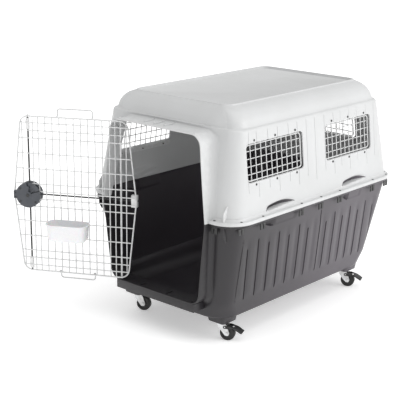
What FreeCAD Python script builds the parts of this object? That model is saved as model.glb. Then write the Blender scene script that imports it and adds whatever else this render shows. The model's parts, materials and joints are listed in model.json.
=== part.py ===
import FreeCAD, Part
import math
import os

V = FreeCAD.Vector
X_AXIS = V(1, 0, 0)
Y_AXIS = V(0, 1, 0)
Z_AXIS = V(0, 0, 1)

# Millimetres. The carrier is modelled about the middle of its body, with the door to -Y and the
# floor at z = 0. The door is modelled closed and then swung open to its rest pose.

# Shells
WALL = 4.0
BASE_Z = 88.0
RIM_Z = 421.0
RIM_HALF_X = 325.0
RIM_HALF_Y = 453.0
RIM_CORNER = 86.0
RIM_SKIRT = 11.0
RIM_FILLET = 4.0
LIP_DEPTH = 8.0
LIP_INSET = 4.0
WALL_HALF_X = 310.0
WALL_HALF_Y = 438.0
WALL_CORNER = 60.0
BASE_HALF_X = 241.5
BASE_HALF_Y = 403.0
BASE_CORNER = 50.0
BASE_EDGE = 8.0
BELT_Z = 704.0
BELT_HALF_X = 281.0
BELT_HALF_Y = 388.0
BELT_CORNER = 46.0
BELT_SHOULDER = 3.0
BELT_BEND = 6.0
ROOF_Z = 768.0
TRAY_HALF_X = 199.0
TRAY_HALF_Y = 339.0
TRAY_CORNER = 26.0
TRAY_DEPTH = 7.0
CAP_SECTIONS = (
    # in from the belt at the sides, in at the ends, height
    (11.0, 11.0, 707.0),
    (18.0, 15.0, 722.0),
    (31.0, 22.0, 740.0),
    (50.0, 31.0, 754.0),
    (66.0, 40.0, 763.0),
    (78.0, 45.0, 768.0),
)

# Door portal: a six-sided tube that stands out of the front wall
PORTAL_MID_Z = 418.0
PORTAL_HALF_Z = 269.0
PORTAL_HALF_TOP = 189.0
PORTAL_HALF_MID = 219.0
PORTAL_CORNER = 38.0
PORTAL_MID_CORNER = 110.0
PORTAL_BACK_Y = -372.0
PORTAL_FRONT_Y = -459.0
PORTAL_BULGE = 8.0
SILL_BOTTOM_Z = 118.0
SILL_HALF_X = 172.0
RIB_SPACING = 42.0

# Windows
WINDOW_HEIGHT = 120.0
WINDOW_Z = 600.5
WINDOW_CORNER = 13.0
FRONT_WINDOW_Y = -216.5
FRONT_WINDOW_LENGTH = 281.0
BACK_WINDOW_Y = 178.5
BACK_WINDOW_LENGTH = 264.0
REAR_WINDOW_LENGTH = 332.0
GRILLE_WIRE_R = 1.5
GRILLE_BORDER_R = 2.0
GRILLE_BORDER_INSET = 5.0
GRILLE_PITCH = 24.7
GRILLE_STRIP = 16.0
GRILLE_GAP = 2.4
GRILLE_PLATE = 1.5
GRILLE_SCREW_INSET = 38.0

# Ribs, fins and grooves of the shells
RIB_T = 3.0
FIN_X = 272.0
FIN_TOP_Z = 479.0
FIN_BOTTOM_Z = 365.0
GROOVE_R = 1.6
GROOVE_BOTTOM_Z = 142.0
GROOVE_TOPS_Z = (355.0, 330.0)
GROOVE_CENTRE_TOP_Z = 381.0
GROOVE_SLANT = 0.17
GROOVES_Y = (-312.0, -260.0, -206.0, -155.0, -102.0, -48.0, 0.0, 68.0, 102.0, 151.0, 198.0, 243.0,
             291.0, 336.0, 384.0)

# Fasteners of the rim and the grilles
RIM_BOLT_R = 2.5
RIM_HOLE_R = 2.8
RIM_HEAD_R = 3.6
RIM_HEAD_H = 1.4
RIM_NUT_R = 4.6
RIM_NUT_H = 4.0
WING_REACH = 12.0
WING_DROP = 22.0
WING_T = 3.0
RIM_BOLT_INSET = 8.0
RIM_SIDE_BOLTS_Y = (-400.0, -305.0, -107.0, 0.0, 107.0, 305.0, 400.0)
RIM_END_BOLTS_X = (-240.0, 240.0)
GRILLE_SCREW_R = 1.8
GRILLE_HEAD_R = 3.6
GRILLE_HEAD_H = 1.8

# Door
HINGE_X = -157.0
HINGE_Y = -450.0
DOOR_OPEN_DEG = 151.0
DOOR_HALF_Z = 264.0
DOOR_HALF_TOP = 181.0
DOOR_HALF_MID = 210.0
DOOR_CORNER = 30.0
DOOR_MID_CORNER = 90.0
FRAME_R = 2.5
MESH_R = 1.75
HINGE_ROD_R = 3.2
HINGE_CLEARANCE = 0.05
LATCH_ROD_R = 2.8
LATCH_HOLE_R = 4.0
SIDE_ROD_R = 2.5
WELD = 0.15
FRAME_Y = HINGE_Y + HINGE_ROD_R + FRAME_R - WELD
ROW_Y = FRAME_Y + FRAME_R + MESH_R - WELD
COLUMN_Y = ROW_Y - 2.0 * MESH_R + WELD
SIDE_ROD_Y = HINGE_Y - HINGE_ROD_R - SIDE_ROD_R - 0.3
COLUMN_PITCH = 24.2
OUTER_COLUMN_X = 177.0
ROW_STEP = 25.6
ROW_MULTIPLES = (0.5, 1.5, 3.5, 5.5, 7.5, 8.5, 9.5)
LOOP_HALF_X = 60.0
LOOP_TOP = 289.0
LOOP_Y = -463.5
LOOP_BEND = 5.0
ROD_REST_TIP = 266.8
ROD_TRAVEL = 14.0
ROD_HOLE_DEPTH = 6.0

# Latch
LATCH_X = 158.0
LATCH_R = 42.0
LATCH_BASE_T = 8.4
LATCH_FLOOR_T = 2.4
LATCH_COVER_Y = -463.5
LATCH_COVER_T = 17.0
LATCH_WALL = 2.5
LATCH_NOSE = 50.0
LATCH_POSTS = ((26.0, 22.0), (26.0, -22.0), (-26.0, -22.0))
POST_R = 4.0
TRIGGER_HUB_R = 12.0
TRIGGER_GRIP_DEG = (118.0, 154.0)
TRIGGER_SLOT_DEG = (84.0, 159.0)
TRIGGER_SLOT_R = 30.0

# Bowl
BOWL_X = 12.1
BOWL_HALF_X = 72.0
BOWL_DEPTH = 72.0
BOWL_TOP = -78.0
BOWL_HEIGHT = 56.0
BOWL_WALL = 2.2
BOWL_ROW = 3.5
BOWL_GAP = 0.35

# Casters
CASTER_X = 189.0
CASTER_Y = 340.0
CASTER_HEADING_DEG = 22.0
CASTER_TRAIL = 20.0
WHEEL_R = 25.0
TYRE_INNER_R = 17.5
WHEEL_HALF_T = 9.0
AXLE_R = 3.0
PLATE_TOP_Z = 65.0
PLATE_T = 2.5
PLATE_HALF = 23.0
PLATE_BOLT = 17.0
KINGPIN_R = 4.0
FORK_T = 2.0
FORK_HALF_GAP = 10.6
PEDAL_PIVOT = (14.0, 47.0)
PEDAL_TREAD_X = 42.0
PEDAL_OUTLINE = (
    # distance from the swivel's axis, height, corner radius
    (8.0, 42.0, 4.0), (8.0, 51.5, 4.0), (30.0, 51.5, 12.0), (52.0, 46.0, 12.0), (72.0, 34.0, 1.5),
    (70.0, 30.0, 1.5), (50.0, 41.0, 10.0), (42.0, 45.2, 4.0), (22.0, 42.0, 8.0),
)
RUNNING = 0.06


def box(x0, x1, y0, y1, z0, z1):
    """A block between two corners."""
    return Part.makeBox(x1 - x0, y1 - y0, z1 - z0, V(x0, y0, z0))


def rod(radius, start, end):
    """A round bar between two points."""
    start = V(*start)
    span = V(*end) - start
    return Part.makeCylinder(radius, span.Length, start, span)


def fused(shapes):
    """One solid out of shapes that touch."""
    shapes = list(shapes)
    return shapes[0].multiFuse(shapes[1:]).removeSplitter()


def outline(half_x, half_y, radius, z):
    """A rounded rectangle about the z axis, as a wire at height z."""
    edges = []
    corners = ((1, -1, -90), (1, 1, 0), (-1, 1, 90), (-1, -1, 180))
    spots = []
    for sx, sy, start in corners:
        centre = V(sx * (half_x - radius), sy * (half_y - radius), z)
        points = []
        for turn in (0, 45, 90):
            angle = math.radians(start + turn)
            points.append(centre + V(math.cos(angle), math.sin(angle), 0) * radius)
        spots.append(points)
    for i, points in enumerate(spots):
        edges.append(Part.Arc(*points).toShape())
        edges.append(Part.LineSegment(points[2], spots[(i + 1) % 4][0]).toShape())
    return Part.Wire(edges)


def stack(sections):
    """A solid through rounded rectangles, each given as half_x, half_y, radius, z."""
    return Part.makeLoft([outline(*section) for section in sections], True, True)


def slab(half_x, half_y, radius, z0, z1):
    """A rounded rectangular plate between two heights."""
    return Part.Face(outline(half_x, half_y, radius, z0)).extrude(V(0, 0, z1 - z0))


def filleted_path(points, radii, closed=False):
    """A wire of straight runs joined by tangent arcs, one radius for each corner point."""
    count = len(points)
    corners = range(count) if closed else range(1, count - 1)
    ends = {}
    arcs = {}
    for i in corners:
        point = points[i]
        back = (points[i - 1] - point).normalize()
        ahead = (points[(i + 1) % count] - point).normalize()
        half = back.getAngle(ahead) / 2.0
        reach = radii[i] / math.tan(half)
        middle = (back + ahead).normalize() * (radii[i] / math.sin(half) - radii[i])
        ends[i] = (point + back * reach, point + ahead * reach)
        arcs[i] = Part.Arc(ends[i][0], point + middle, ends[i][1]).toShape()
    edges = []
    for i in range(count if closed else count - 1):
        following = (i + 1) % count
        start = ends[i][1] if i in ends else points[i]
        end = ends[following][0] if following in ends else points[following]
        if i in arcs:
            edges.append(arcs[i])
        edges.append(Part.LineSegment(start, end).toShape())
    return Part.Wire(Part.__sortEdges__(edges))


def bent_wire(points, bend, radius, closed=False):
    """A round wire bent along straight runs."""
    radii = bend if isinstance(bend, (list, tuple)) else [bend] * len(points)
    path = filleted_path(points, radii, closed)
    first = path.OrderedEdges[0]
    start = first.valueAt(first.FirstParameter)
    heading = first.tangentAt(first.FirstParameter)
    ring = Part.Wire([Part.makeCircle(radius, start, heading)])
    return path.makePipeShell([ring], True, False)


def mirrored(points):
    """Points on one side of x = 0, followed by their mirror images in reverse."""
    return points + [V(-p.x, p.y, p.z) for p in reversed(points)]


# ---------------------------------------------------------------- shells

def wall_half(z):
    """Half width and half length of the wall's outer face at a height."""
    if z < RIM_Z:
        low = BASE_Z + BASE_EDGE
        share = (z - low) / (RIM_Z - low)
        return (BASE_HALF_X + share * (WALL_HALF_X - BASE_HALF_X),
                BASE_HALF_Y + share * (WALL_HALF_Y - BASE_HALF_Y))
    share = (z - RIM_Z) / (BELT_Z - BELT_BEND - RIM_Z)
    return (WALL_HALF_X + share * (BELT_HALF_X - WALL_HALF_X),
            WALL_HALF_Y + share * (BELT_HALF_Y - WALL_HALF_Y))


def lower_sections(inset, raise_floor):
    """Sections of the lower wall, moved in by the wall's thickness for the inside."""
    return [
        (BASE_HALF_X - BASE_EDGE - inset, BASE_HALF_Y - BASE_EDGE - inset,
         BASE_CORNER - inset, BASE_Z + raise_floor),
        (BASE_HALF_X - inset, BASE_HALF_Y - inset, BASE_CORNER - inset,
         BASE_Z + BASE_EDGE + raise_floor),
        (WALL_HALF_X - inset, WALL_HALF_Y - inset, WALL_CORNER - inset, RIM_Z),
    ]


def upper_sections(inset, drop):
    """Sections of the upper wall and the domed border of the roof, from the rim up."""
    shoulder = BELT_SHOULDER + inset
    sections = [
        (WALL_HALF_X - inset, WALL_HALF_Y - inset, WALL_CORNER - inset, RIM_Z),
        (BELT_HALF_X - inset, BELT_HALF_Y - inset, BELT_CORNER - inset, BELT_Z - BELT_BEND - drop),
        (BELT_HALF_X - shoulder, BELT_HALF_Y - shoulder, BELT_CORNER - inset, BELT_Z - drop),
    ]
    for side, end, z in CAP_SECTIONS:
        radius = BELT_CORNER - end / 4.0
        sections.append((BELT_HALF_X - side - inset, BELT_HALF_Y - end - inset,
                         radius - inset, z - drop))
    return sections


def portal_points(grow, y):
    """The six corners of the door opening, grown outward by the wall's thickness."""
    top = PORTAL_MID_Z + PORTAL_HALF_Z + grow
    bottom = PORTAL_MID_Z - PORTAL_HALF_Z - grow
    right = [V(PORTAL_HALF_TOP + grow, y, top), V(PORTAL_HALF_MID + grow, y, PORTAL_MID_Z),
             V(PORTAL_HALF_TOP + grow, y, bottom)]
    return mirrored(right)


def portal_prism(grow, y0, y1):
    """The door opening as a bar along Y."""
    corner = PORTAL_CORNER + grow
    radii = [corner, PORTAL_MID_CORNER, corner, corner, PORTAL_MID_CORNER, corner]
    path = filleted_path(portal_points(grow, y0), radii, closed=True)
    return Part.Face(path).extrude(V(0, y1 - y0, 0))


def portal_front_cutter():
    """What lies in front of the portal's gently bowed front edge."""
    low = V(0, PORTAL_FRONT_Y, SILL_BOTTOM_Z)
    mid = V(0, PORTAL_FRONT_Y - PORTAL_BULGE, PORTAL_MID_Z)
    high = V(0, PORTAL_FRONT_Y, 2.0 * PORTAL_MID_Z - SILL_BOTTOM_Z)
    far_low = V(0, PORTAL_FRONT_Y - 60.0, low.z)
    far_high = V(0, PORTAL_FRONT_Y - 60.0, high.z)
    edges = [Part.Arc(low, mid, high).toShape(), Part.makeLine(high, far_high),
             Part.makeLine(far_high, far_low), Part.makeLine(far_low, low)]
    face = Part.Face(Part.Wire(edges))
    face.translate(V(-RIM_HALF_X, 0, 0))
    return face.extrude(V(2.0 * RIM_HALF_X, 0, 0))


def half_space(above):
    """Everything above, or everything below, the joint between the shells."""
    reach = 700.0
    if above:
        return box(-reach, reach, -reach, reach, RIM_Z, RIM_Z + reach)
    return box(-reach, reach, -reach, reach, RIM_Z - reach, RIM_Z)


def rim_point(x=None, y=None):
    """The place of a rim bolt, given one of its coordinates."""
    half_x = RIM_HALF_X - RIM_BOLT_INSET
    half_y = RIM_HALF_Y - RIM_BOLT_INSET
    radius = RIM_CORNER - RIM_BOLT_INSET
    if x is None:
        over = abs(y) - (half_y - radius)
        reach = half_x if over <= 0 else half_x - radius + math.sqrt(radius ** 2 - over ** 2)
        return reach, y
    return x, half_y


def rim_bolt_places():
    """Plan positions of every bolt that joins the two shells."""
    places = []
    for y in RIM_SIDE_BOLTS_Y:
        reach, _ = rim_point(y=y)
        places += [(reach, y), (-reach, y)]
    for x in RIM_END_BOLTS_X:
        _, reach = rim_point(x=x)
        places += [(x, reach), (x, -reach)]
    places.append((0.0, rim_point(x=0.0)[1]))
    return places


def rim_holes():
    """Clearance holes for the rim bolts."""
    return [rod(RIM_HOLE_R, (x, y, RIM_Z - 30.0), (x, y, RIM_Z + 40.0))
            for x, y in rim_bolt_places()]


def corner_fin(sx, sy, z_rim, z_tip):
    """A thin gusset between an end wall and the rim, near a corner."""
    over = FIN_X - (WALL_HALF_X - WALL_CORNER)
    drop = WALL_CORNER - math.sqrt(WALL_CORNER ** 2 - over ** 2)
    rim_over = FIN_X - (RIM_HALF_X - RIM_CORNER)
    edge = RIM_HALF_Y - RIM_CORNER + math.sqrt(RIM_CORNER ** 2 - rim_over ** 2)
    inside = wall_half(z_rim)[1] - drop - WALL / 2.0
    tip = wall_half(z_tip)[1] - drop
    x = sx * FIN_X - RIB_T / 2.0
    points = [V(x, inside, z_rim), V(x, edge - LIP_INSET - 2.0, z_rim), V(x, tip + 1.0, z_tip),
              V(x, tip - WALL / 2.0, z_tip)]
    points = [V(point.x, sy * point.y, point.z) for point in points]
    return Part.Face(Part.makePolygon(points + [points[0]])).extrude(V(RIB_T, 0, 0))


def foot(sx, sy):
    """A tapered block under one corner of the base, which carries a caster."""
    block = stack([(33.0, 33.0, 8.0, PLATE_TOP_Z), (36.0, 36.0, 9.0, PLATE_TOP_Z + 9.0),
                   (47.0, 47.0, 12.0, BASE_Z + 2.0)])
    block.translate(V(sx * CASTER_X, sy * CASTER_Y, 0))
    return block


def side_grooves():
    """Shallow slanted grooves between the ribs of the lower side walls."""
    cutters = []
    bottom = GROOVE_BOTTOM_Z
    for i, y in enumerate(GROOVES_Y):
        top = GROOVE_CENTRE_TOP_Z if i == len(GROOVES_Y) // 2 else GROOVE_TOPS_Z[(i + 1) % 2]
        top_y = y - GROOVE_SLANT * (top - bottom)
        for side in (-1, 1):
            cutters.append(rod(GROOVE_R, (side * wall_half(bottom)[0], y, bottom),
                               (side * wall_half(top)[0], top_y, top)))
    return cutters


def tilted(shape, place):
    """Move a window part, built flat about the origin and facing +X, to its wall."""
    side, along = place
    z = WINDOW_Z
    half_x, half_y = wall_half(z)
    if side == "rear":
        lean = math.degrees(math.atan2(WALL_HALF_Y - BELT_HALF_Y, BELT_Z - RIM_Z))
        shape.rotate(V(0, 0, 0), Y_AXIS, -lean)
        shape.rotate(V(0, 0, 0), Z_AXIS, 90.0)
        shape.translate(V(along, half_y, z))
        return shape
    lean = math.degrees(math.atan2(WALL_HALF_X - BELT_HALF_X, BELT_Z - RIM_Z))
    shape.rotate(V(0, 0, 0), Y_AXIS, -lean)
    if side == "left":
        shape.rotate(V(0, 0, 0), Z_AXIS, 180.0)
        shape.translate(V(-half_x, along, z))
        return shape
    shape.translate(V(half_x, along, z))
    return shape


def window_panel(length, height, radius, x0, x1):
    """A rounded rectangular plate, facing +X, between two depths."""
    plate = slab(length / 2.0, height / 2.0, radius, 0.0, x1 - x0)
    plate.rotate(V(0, 0, 0), V(1, 1, 1), 120.0)
    plate.translate(V(x0, 0, 0))
    return plate


WINDOWS = {
    "window_grille_right_front": (("right", FRONT_WINDOW_Y), FRONT_WINDOW_LENGTH),
    "window_grille_right_rear": (("right", BACK_WINDOW_Y), BACK_WINDOW_LENGTH),
    "window_grille_left_front": (("left", FRONT_WINDOW_Y), FRONT_WINDOW_LENGTH),
    "window_grille_left_rear": (("left", BACK_WINDOW_Y), BACK_WINDOW_LENGTH),
    "window_grille_rear": (("rear", 0.0), REAR_WINDOW_LENGTH),
}


def screw_spots(length):
    """Screw positions above and below a window, as distances along and up."""
    along = length / 2.0 - GRILLE_SCREW_INSET
    up = WINDOW_HEIGHT / 2.0 + GRILLE_STRIP / 2.0
    return [(dx, dz) for dx in (-along, 0.0, along) for dz in (-up, up)]


def screw_bars(length, radius, x0, x1):
    """Round bars at a window's screws."""
    return [rod(radius, (x0, y, z), (x1, y, z)) for y, z in screw_spots(length)]


def window_cutters():
    """The window openings; the grilles' screws cut their own thread in the wall."""
    cutters = []
    for place, length in WINDOWS.values():
        hole = window_panel(length, WINDOW_HEIGHT, WINDOW_CORNER, -30.0, 30.0)
        cutters.append(tilted(hole, place))
    return cutters


def door_holes():
    """Holes in the portal for the hinge rod and the three latch rods."""
    top = PORTAL_MID_Z + PORTAL_HALF_Z
    bottom = PORTAL_MID_Z - PORTAL_HALF_Z
    cutters = []
    for x, radius in ((HINGE_X, HINGE_ROD_R + HINGE_CLEARANCE), (-HINGE_X, LATCH_HOLE_R)):
        cutters.append(rod(radius, (x, HINGE_Y, top - 3.0), (x, HINGE_Y, top + 20.0)))
        cutters.append(rod(radius, (x, HINGE_Y, bottom - 20.0), (x, HINGE_Y, bottom + 3.0)))
    side = PORTAL_HALF_MID
    cutters.append(rod(3.5, (-side - 12.0, SIDE_ROD_Y, PORTAL_MID_Z),
                       (-side + 8.0, SIDE_ROD_Y, PORTAL_MID_Z)))
    return cutters


def rod_bosses(z0, z1):
    """Raised rings round the holes for the vertical rods."""
    return [rod(7.0, (x, HINGE_Y, z0), (x, HINGE_Y, z1)) for x in (HINGE_X, -HINGE_X)]


def make_top_shell():
    """The white upper half: walls, portal, belt, domed roof and rim."""
    outer = stack(upper_sections(0.0, 0.0))
    tray_z = ROOF_Z - TRAY_DEPTH
    tray_floor = slab(TRAY_HALF_X + WALL, TRAY_HALF_Y + WALL, TRAY_CORNER + WALL, tray_z - WALL,
                      ROOF_Z)
    inner = stack(upper_sections(WALL, WALL)).cut(tray_floor)
    rim_top = RIM_Z + RIM_SKIRT
    rim = slab(RIM_HALF_X, RIM_HALF_Y, RIM_CORNER, RIM_Z, rim_top)
    low_x, low_y = wall_half(rim_top)
    high_x, high_y = wall_half(rim_top + RIM_FILLET)
    fillet = stack([(low_x + RIM_FILLET, low_y + RIM_FILLET, WALL_CORNER + RIM_FILLET, rim_top),
                    (high_x + 0.5, high_y + 0.5, WALL_CORNER, rim_top + RIM_FILLET)])
    portal = portal_prism(WALL, PORTAL_FRONT_Y - 40.0, PORTAL_BACK_Y).common(half_space(True))
    ledge = PORTAL_MID_Z + PORTAL_HALF_Z + WALL
    ribs = [box(x - 1.5, x + 1.5, PORTAL_FRONT_Y + 22.0, PORTAL_FRONT_Y + 78.0, ledge - 1.0,
                ledge + 2.5) for x in (-1.5 * RIB_SPACING, -0.5 * RIB_SPACING, 0.5 * RIB_SPACING)]
    fins = [corner_fin(sx, sy, rim_top - 1.0, FIN_TOP_Z) for sx in (-1, 1) for sy in (-1, 1)]
    bosses = rod_bosses(ledge - 1.0, ledge + ROD_HOLE_DEPTH)
    shell = fused([outer, rim, fillet, portal] + ribs + fins + bosses)
    tray = slab(TRAY_HALF_X, TRAY_HALF_Y, TRAY_CORNER, tray_z, ROOF_Z + 5.0)
    seats = [rod(RIM_HEAD_R + 0.5, (x, y, rim_top), (x, y, rim_top + RIM_FILLET + 1.0))
             for x, y in rim_bolt_places()]
    way_in = portal_prism(0.0, PORTAL_FRONT_Y - 60.0, PORTAL_BACK_Y + 20.0)
    cutters = [inner, way_in, portal_front_cutter(), tray] + seats
    return shell.cut(cutters + rim_holes() + window_cutters() + door_holes())


def make_bottom_shell():
    """The dark lower half: tub, feet, ribs, sill and the lower half of the portal."""
    outer = stack(lower_sections(0.0, 0.0))
    inner = stack(lower_sections(WALL, WALL))
    lip = slab(RIM_HALF_X - LIP_INSET, RIM_HALF_Y - LIP_INSET, RIM_CORNER - LIP_INSET,
               RIM_Z - LIP_DEPTH, RIM_Z)
    portal = portal_prism(WALL, PORTAL_FRONT_Y - 40.0, PORTAL_BACK_Y).common(half_space(False))
    sill_top = PORTAL_MID_Z - PORTAL_HALF_Z - WALL
    apron = box(-SILL_HALF_X, SILL_HALF_X, PORTAL_FRONT_Y, PORTAL_FRONT_Y + WALL, SILL_BOTTOM_Z,
                sill_top + 1.0)
    webs = [box(x - 1.5, x + 1.5, PORTAL_FRONT_Y + 1.0, PORTAL_FRONT_Y + 50.0, SILL_BOTTOM_Z,
                sill_top + 1.0) for x in (-SILL_HALF_X + 2.0, -LOOP_HALF_X, LOOP_HALF_X,
                                          SILL_HALF_X - 2.0)]
    feet = [foot(sx, sy) for sx in (-1, 1) for sy in (-1, 1)]
    fins = [corner_fin(sx, sy, RIM_Z - LIP_DEPTH + 1.0, FIN_BOTTOM_Z)
            for sx in (-1, 1) for sy in (-1, 1)]
    bosses = rod_bosses(sill_top - ROD_HOLE_DEPTH + WALL, sill_top + 1.0)
    shell = fused([outer, lip, portal, apron] + webs + feet + fins + bosses)
    way_in = portal_prism(0.0, PORTAL_FRONT_Y - 60.0, PORTAL_BACK_Y + 20.0)
    bolt_holes = [rod(2.6, (x, y, PLATE_TOP_Z - 1.0), (x, y, PLATE_TOP_Z + 16.0))
                  for x, y in caster_bolt_places()]
    cutters = [inner, way_in, portal_front_cutter()]
    return shell.cut(cutters + rim_holes() + side_grooves() + door_holes() + bolt_holes)


def make_rim_bolts():
    """Pan-headed bolts through both rims, with their heads on the white one."""
    top = RIM_Z + RIM_SKIRT
    bolts = []
    for x, y in rim_bolt_places():
        shank = rod(RIM_BOLT_R, (x, y, RIM_Z - LIP_DEPTH - 6.0), (x, y, top + 0.5))
        head = rod(RIM_HEAD_R, (x, y, top), (x, y, top + RIM_HEAD_H))
        bolts.append(fused([shank, head]))
    return Part.makeCompound(bolts)


def make_rim_nuts():
    """Wing nuts under the dark lip, each with its wings along the wall."""
    nuts = []
    z1 = RIM_Z - LIP_DEPTH
    half_t = WING_T / 2.0
    for x, y in rim_bolt_places():
        pieces = [rod(RIM_NUT_R, (x, y, z1 - RIM_NUT_H), (x, y, z1))]
        on_end_wall = abs(y) > WALL_HALF_Y
        for side in (-1, 1):
            near, far = sorted((side * (RIM_BOLT_R + 0.3), side * WING_REACH))
            if on_end_wall:
                wing = box(x + near, x + far, y - half_t, y + half_t, z1 - WING_DROP, z1 - 1.0)
            else:
                wing = box(x - half_t, x + half_t, y + near, y + far, z1 - WING_DROP, z1 - 1.0)
            pieces.append(wing)
        nuts.append(fused(pieces).cut(rod(RIM_BOLT_R, (x, y, z1 - WING_DROP), (x, y, z1 + 1.0))))
    return Part.makeCompound(nuts)


def grille_border(length, depth):
    """The bent wire round a grille, a little inside the window's edge."""
    half_y = length / 2.0 - GRILLE_BORDER_INSET
    half_z = WINDOW_HEIGHT / 2.0 - GRILLE_BORDER_INSET
    bend = WINDOW_CORNER - GRILLE_BORDER_INSET / 2.0
    right = [V(0, half_y, half_z), V(0, half_y, -half_z)]
    left = [V(0, -half_y, -half_z), V(0, -half_y, half_z)]
    points = [V(0, 0, half_z)] + right + left + [V(0, 0, half_z)]
    path = filleted_path(points, [0.0] + [bend] * 4 + [0.0])
    ring = Part.Wire([Part.makeCircle(GRILLE_BORDER_R, points[0], Y_AXIS)])
    border = path.makePipeShell([ring], True, False)
    border.translate(V(depth, 0, 0))
    return border


def make_grille(place, length):
    """A welded wire panel between two sheet strips that are screwed to the inside of the wall."""
    x1 = -WALL - GRILLE_GAP
    x0 = x1 - GRILLE_PLATE
    height = WINDOW_HEIGHT
    depth = (x0 + x1) / 2.0
    plate = window_panel(length, height + 2.0 * GRILLE_STRIP, WINDOW_CORNER, x0, x1)
    middle = box(x0 - 1.0, x1 + 1.0, -length, length, -height / 2.0, height / 2.0)
    strips = plate.cut([middle] + screw_bars(length, GRILLE_SCREW_R + 0.2, x0 - 2.0, x1 + 2.0))
    parts = strips.Solids + [grille_border(length, depth)]
    columns = round(length / GRILLE_PITCH)
    rows = round(height / GRILLE_PITCH)
    reach = height / 2.0 + 3.0
    for i in range(1, columns):
        y = -length / 2.0 + i * length / columns
        parts.append(rod(GRILLE_WIRE_R, (depth, y, -reach), (depth, y, reach)))
    row_depth = depth - 2.0 * GRILLE_WIRE_R + WELD
    half_y = length / 2.0 - GRILLE_BORDER_INSET
    for i in range(1, rows):
        z = -height / 2.0 + i * height / rows
        parts.append(rod(GRILLE_WIRE_R, (row_depth, -half_y, z), (row_depth, half_y, z)))
    return tilted(fused(parts), place)


def make_grille_screws():
    """Screws of all the window grilles."""
    screws = []
    for place, length in WINDOWS.values():
        shanks = screw_bars(length, GRILLE_SCREW_R, -WALL - 8.0, 0.5)
        heads = screw_bars(length, GRILLE_HEAD_R, 0.05, GRILLE_HEAD_H)
        for shank, head in zip(shanks, heads):
            screws.append(tilted(fused([shank, head]), place))
    return Part.makeCompound(screws)


# ---------------------------------------------------------------- door, modelled closed

def at_door(x, y, z):
    """A point given by its height from the door's middle."""
    return V(x, y, PORTAL_MID_Z + z)


def frame_half_x(z):
    """Half width of the door's outline at a height from its middle."""
    slope = (DOOR_HALF_MID - DOOR_HALF_TOP) / DOOR_HALF_Z
    return DOOR_HALF_MID - slope * abs(z)


def frame_half_z(x):
    """Half height of the door's outline at a distance from its middle."""
    straight = DOOR_HALF_TOP - DOOR_CORNER
    over = abs(x) - straight
    if over <= 0:
        return DOOR_HALF_Z
    return DOOR_HALF_Z - DOOR_CORNER + math.sqrt(max(DOOR_CORNER ** 2 - over ** 2, 0.0))


def make_door_frame():
    """The bent wire round the door."""
    right = [at_door(DOOR_HALF_TOP, FRAME_Y, DOOR_HALF_Z), at_door(DOOR_HALF_MID, FRAME_Y, 0),
             at_door(DOOR_HALF_TOP, FRAME_Y, -DOOR_HALF_Z)]
    points = [at_door(0, FRAME_Y, DOOR_HALF_Z)] + mirrored(right)
    radii = [0.0, DOOR_CORNER, DOOR_MID_CORNER, DOOR_CORNER, DOOR_CORNER, DOOR_MID_CORNER,
             DOOR_CORNER]
    straight = points + [points[0]]
    path = filleted_path(straight, radii + [0.0])
    ring = Part.Wire([Part.makeCircle(FRAME_R, points[0], X_AXIS)])
    return path.makePipeShell([ring], True, False)


def column_places():
    """Distances of the upright wires from the door's middle."""
    inner = [i * COLUMN_PITCH for i in range(6)]
    right = inner[1:] + [inner[-1] + 19.0, OUTER_COLUMN_X]
    return [-x for x in reversed(right)] + [0.0] + right


def row_places():
    """Heights of the level wires from the door's middle."""
    up = [step * ROW_STEP for step in ROW_MULTIPLES]
    return [-z for z in reversed(up)] + up


def make_door_columns():
    """Upright wires, butted between the top and bottom of the frame."""
    wires = []
    for x in column_places():
        half = frame_half_z(x) - FRAME_R + 2.0 * WELD
        wires.append(rod(MESH_R, at_door(x, COLUMN_Y, -half), at_door(x, COLUMN_Y, half)))
    return Part.makeCompound(wires)


def make_door_rows():
    """Level wires, welded across the frame."""
    wires = []
    for z in row_places():
        half = frame_half_x(z) + 0.5
        wires.append(rod(MESH_R, at_door(-half, ROW_Y, z), at_door(half, ROW_Y, z)))
    return Part.makeCompound(wires)


def make_door_loop(side):
    """A wire stop that overlaps the front of the portal; side is 1 at the top, -1 below."""
    start_y = FRAME_Y - FRAME_R + WELD
    right = [at_door(LOOP_HALF_X, start_y, side * DOOR_HALF_Z),
             at_door(LOOP_HALF_X, LOOP_Y, side * DOOR_HALF_Z),
             at_door(LOOP_HALF_X, LOOP_Y, side * LOOP_TOP)]
    radii = [0.0, LOOP_BEND, 9.0, 9.0, LOOP_BEND, 0.0]
    return bent_wire(mirrored(right), radii, FRAME_R)


def make_hinge_rod():
    """The upright rod the door turns on, with both ends in the portal."""
    reach = PORTAL_HALF_Z + WALL + 3.0
    return rod(HINGE_ROD_R, at_door(HINGE_X, HINGE_Y, -reach), at_door(HINGE_X, HINGE_Y, reach))


def make_vertical_rod(side):
    """A latch rod that slides into the portal; side is 1 for the upper one."""
    return rod(LATCH_ROD_R, at_door(LATCH_X, HINGE_Y, side * 16.0),
               at_door(LATCH_X, HINGE_Y, side * ROD_REST_TIP))


def make_side_rod():
    """The level latch rod that runs to the hinge side."""
    return rod(SIDE_ROD_R, at_door(LATCH_X - 16.0, SIDE_ROD_Y, 0),
               at_door(-DOOR_HALF_MID - 2.5, SIDE_ROD_Y, 0))


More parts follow.
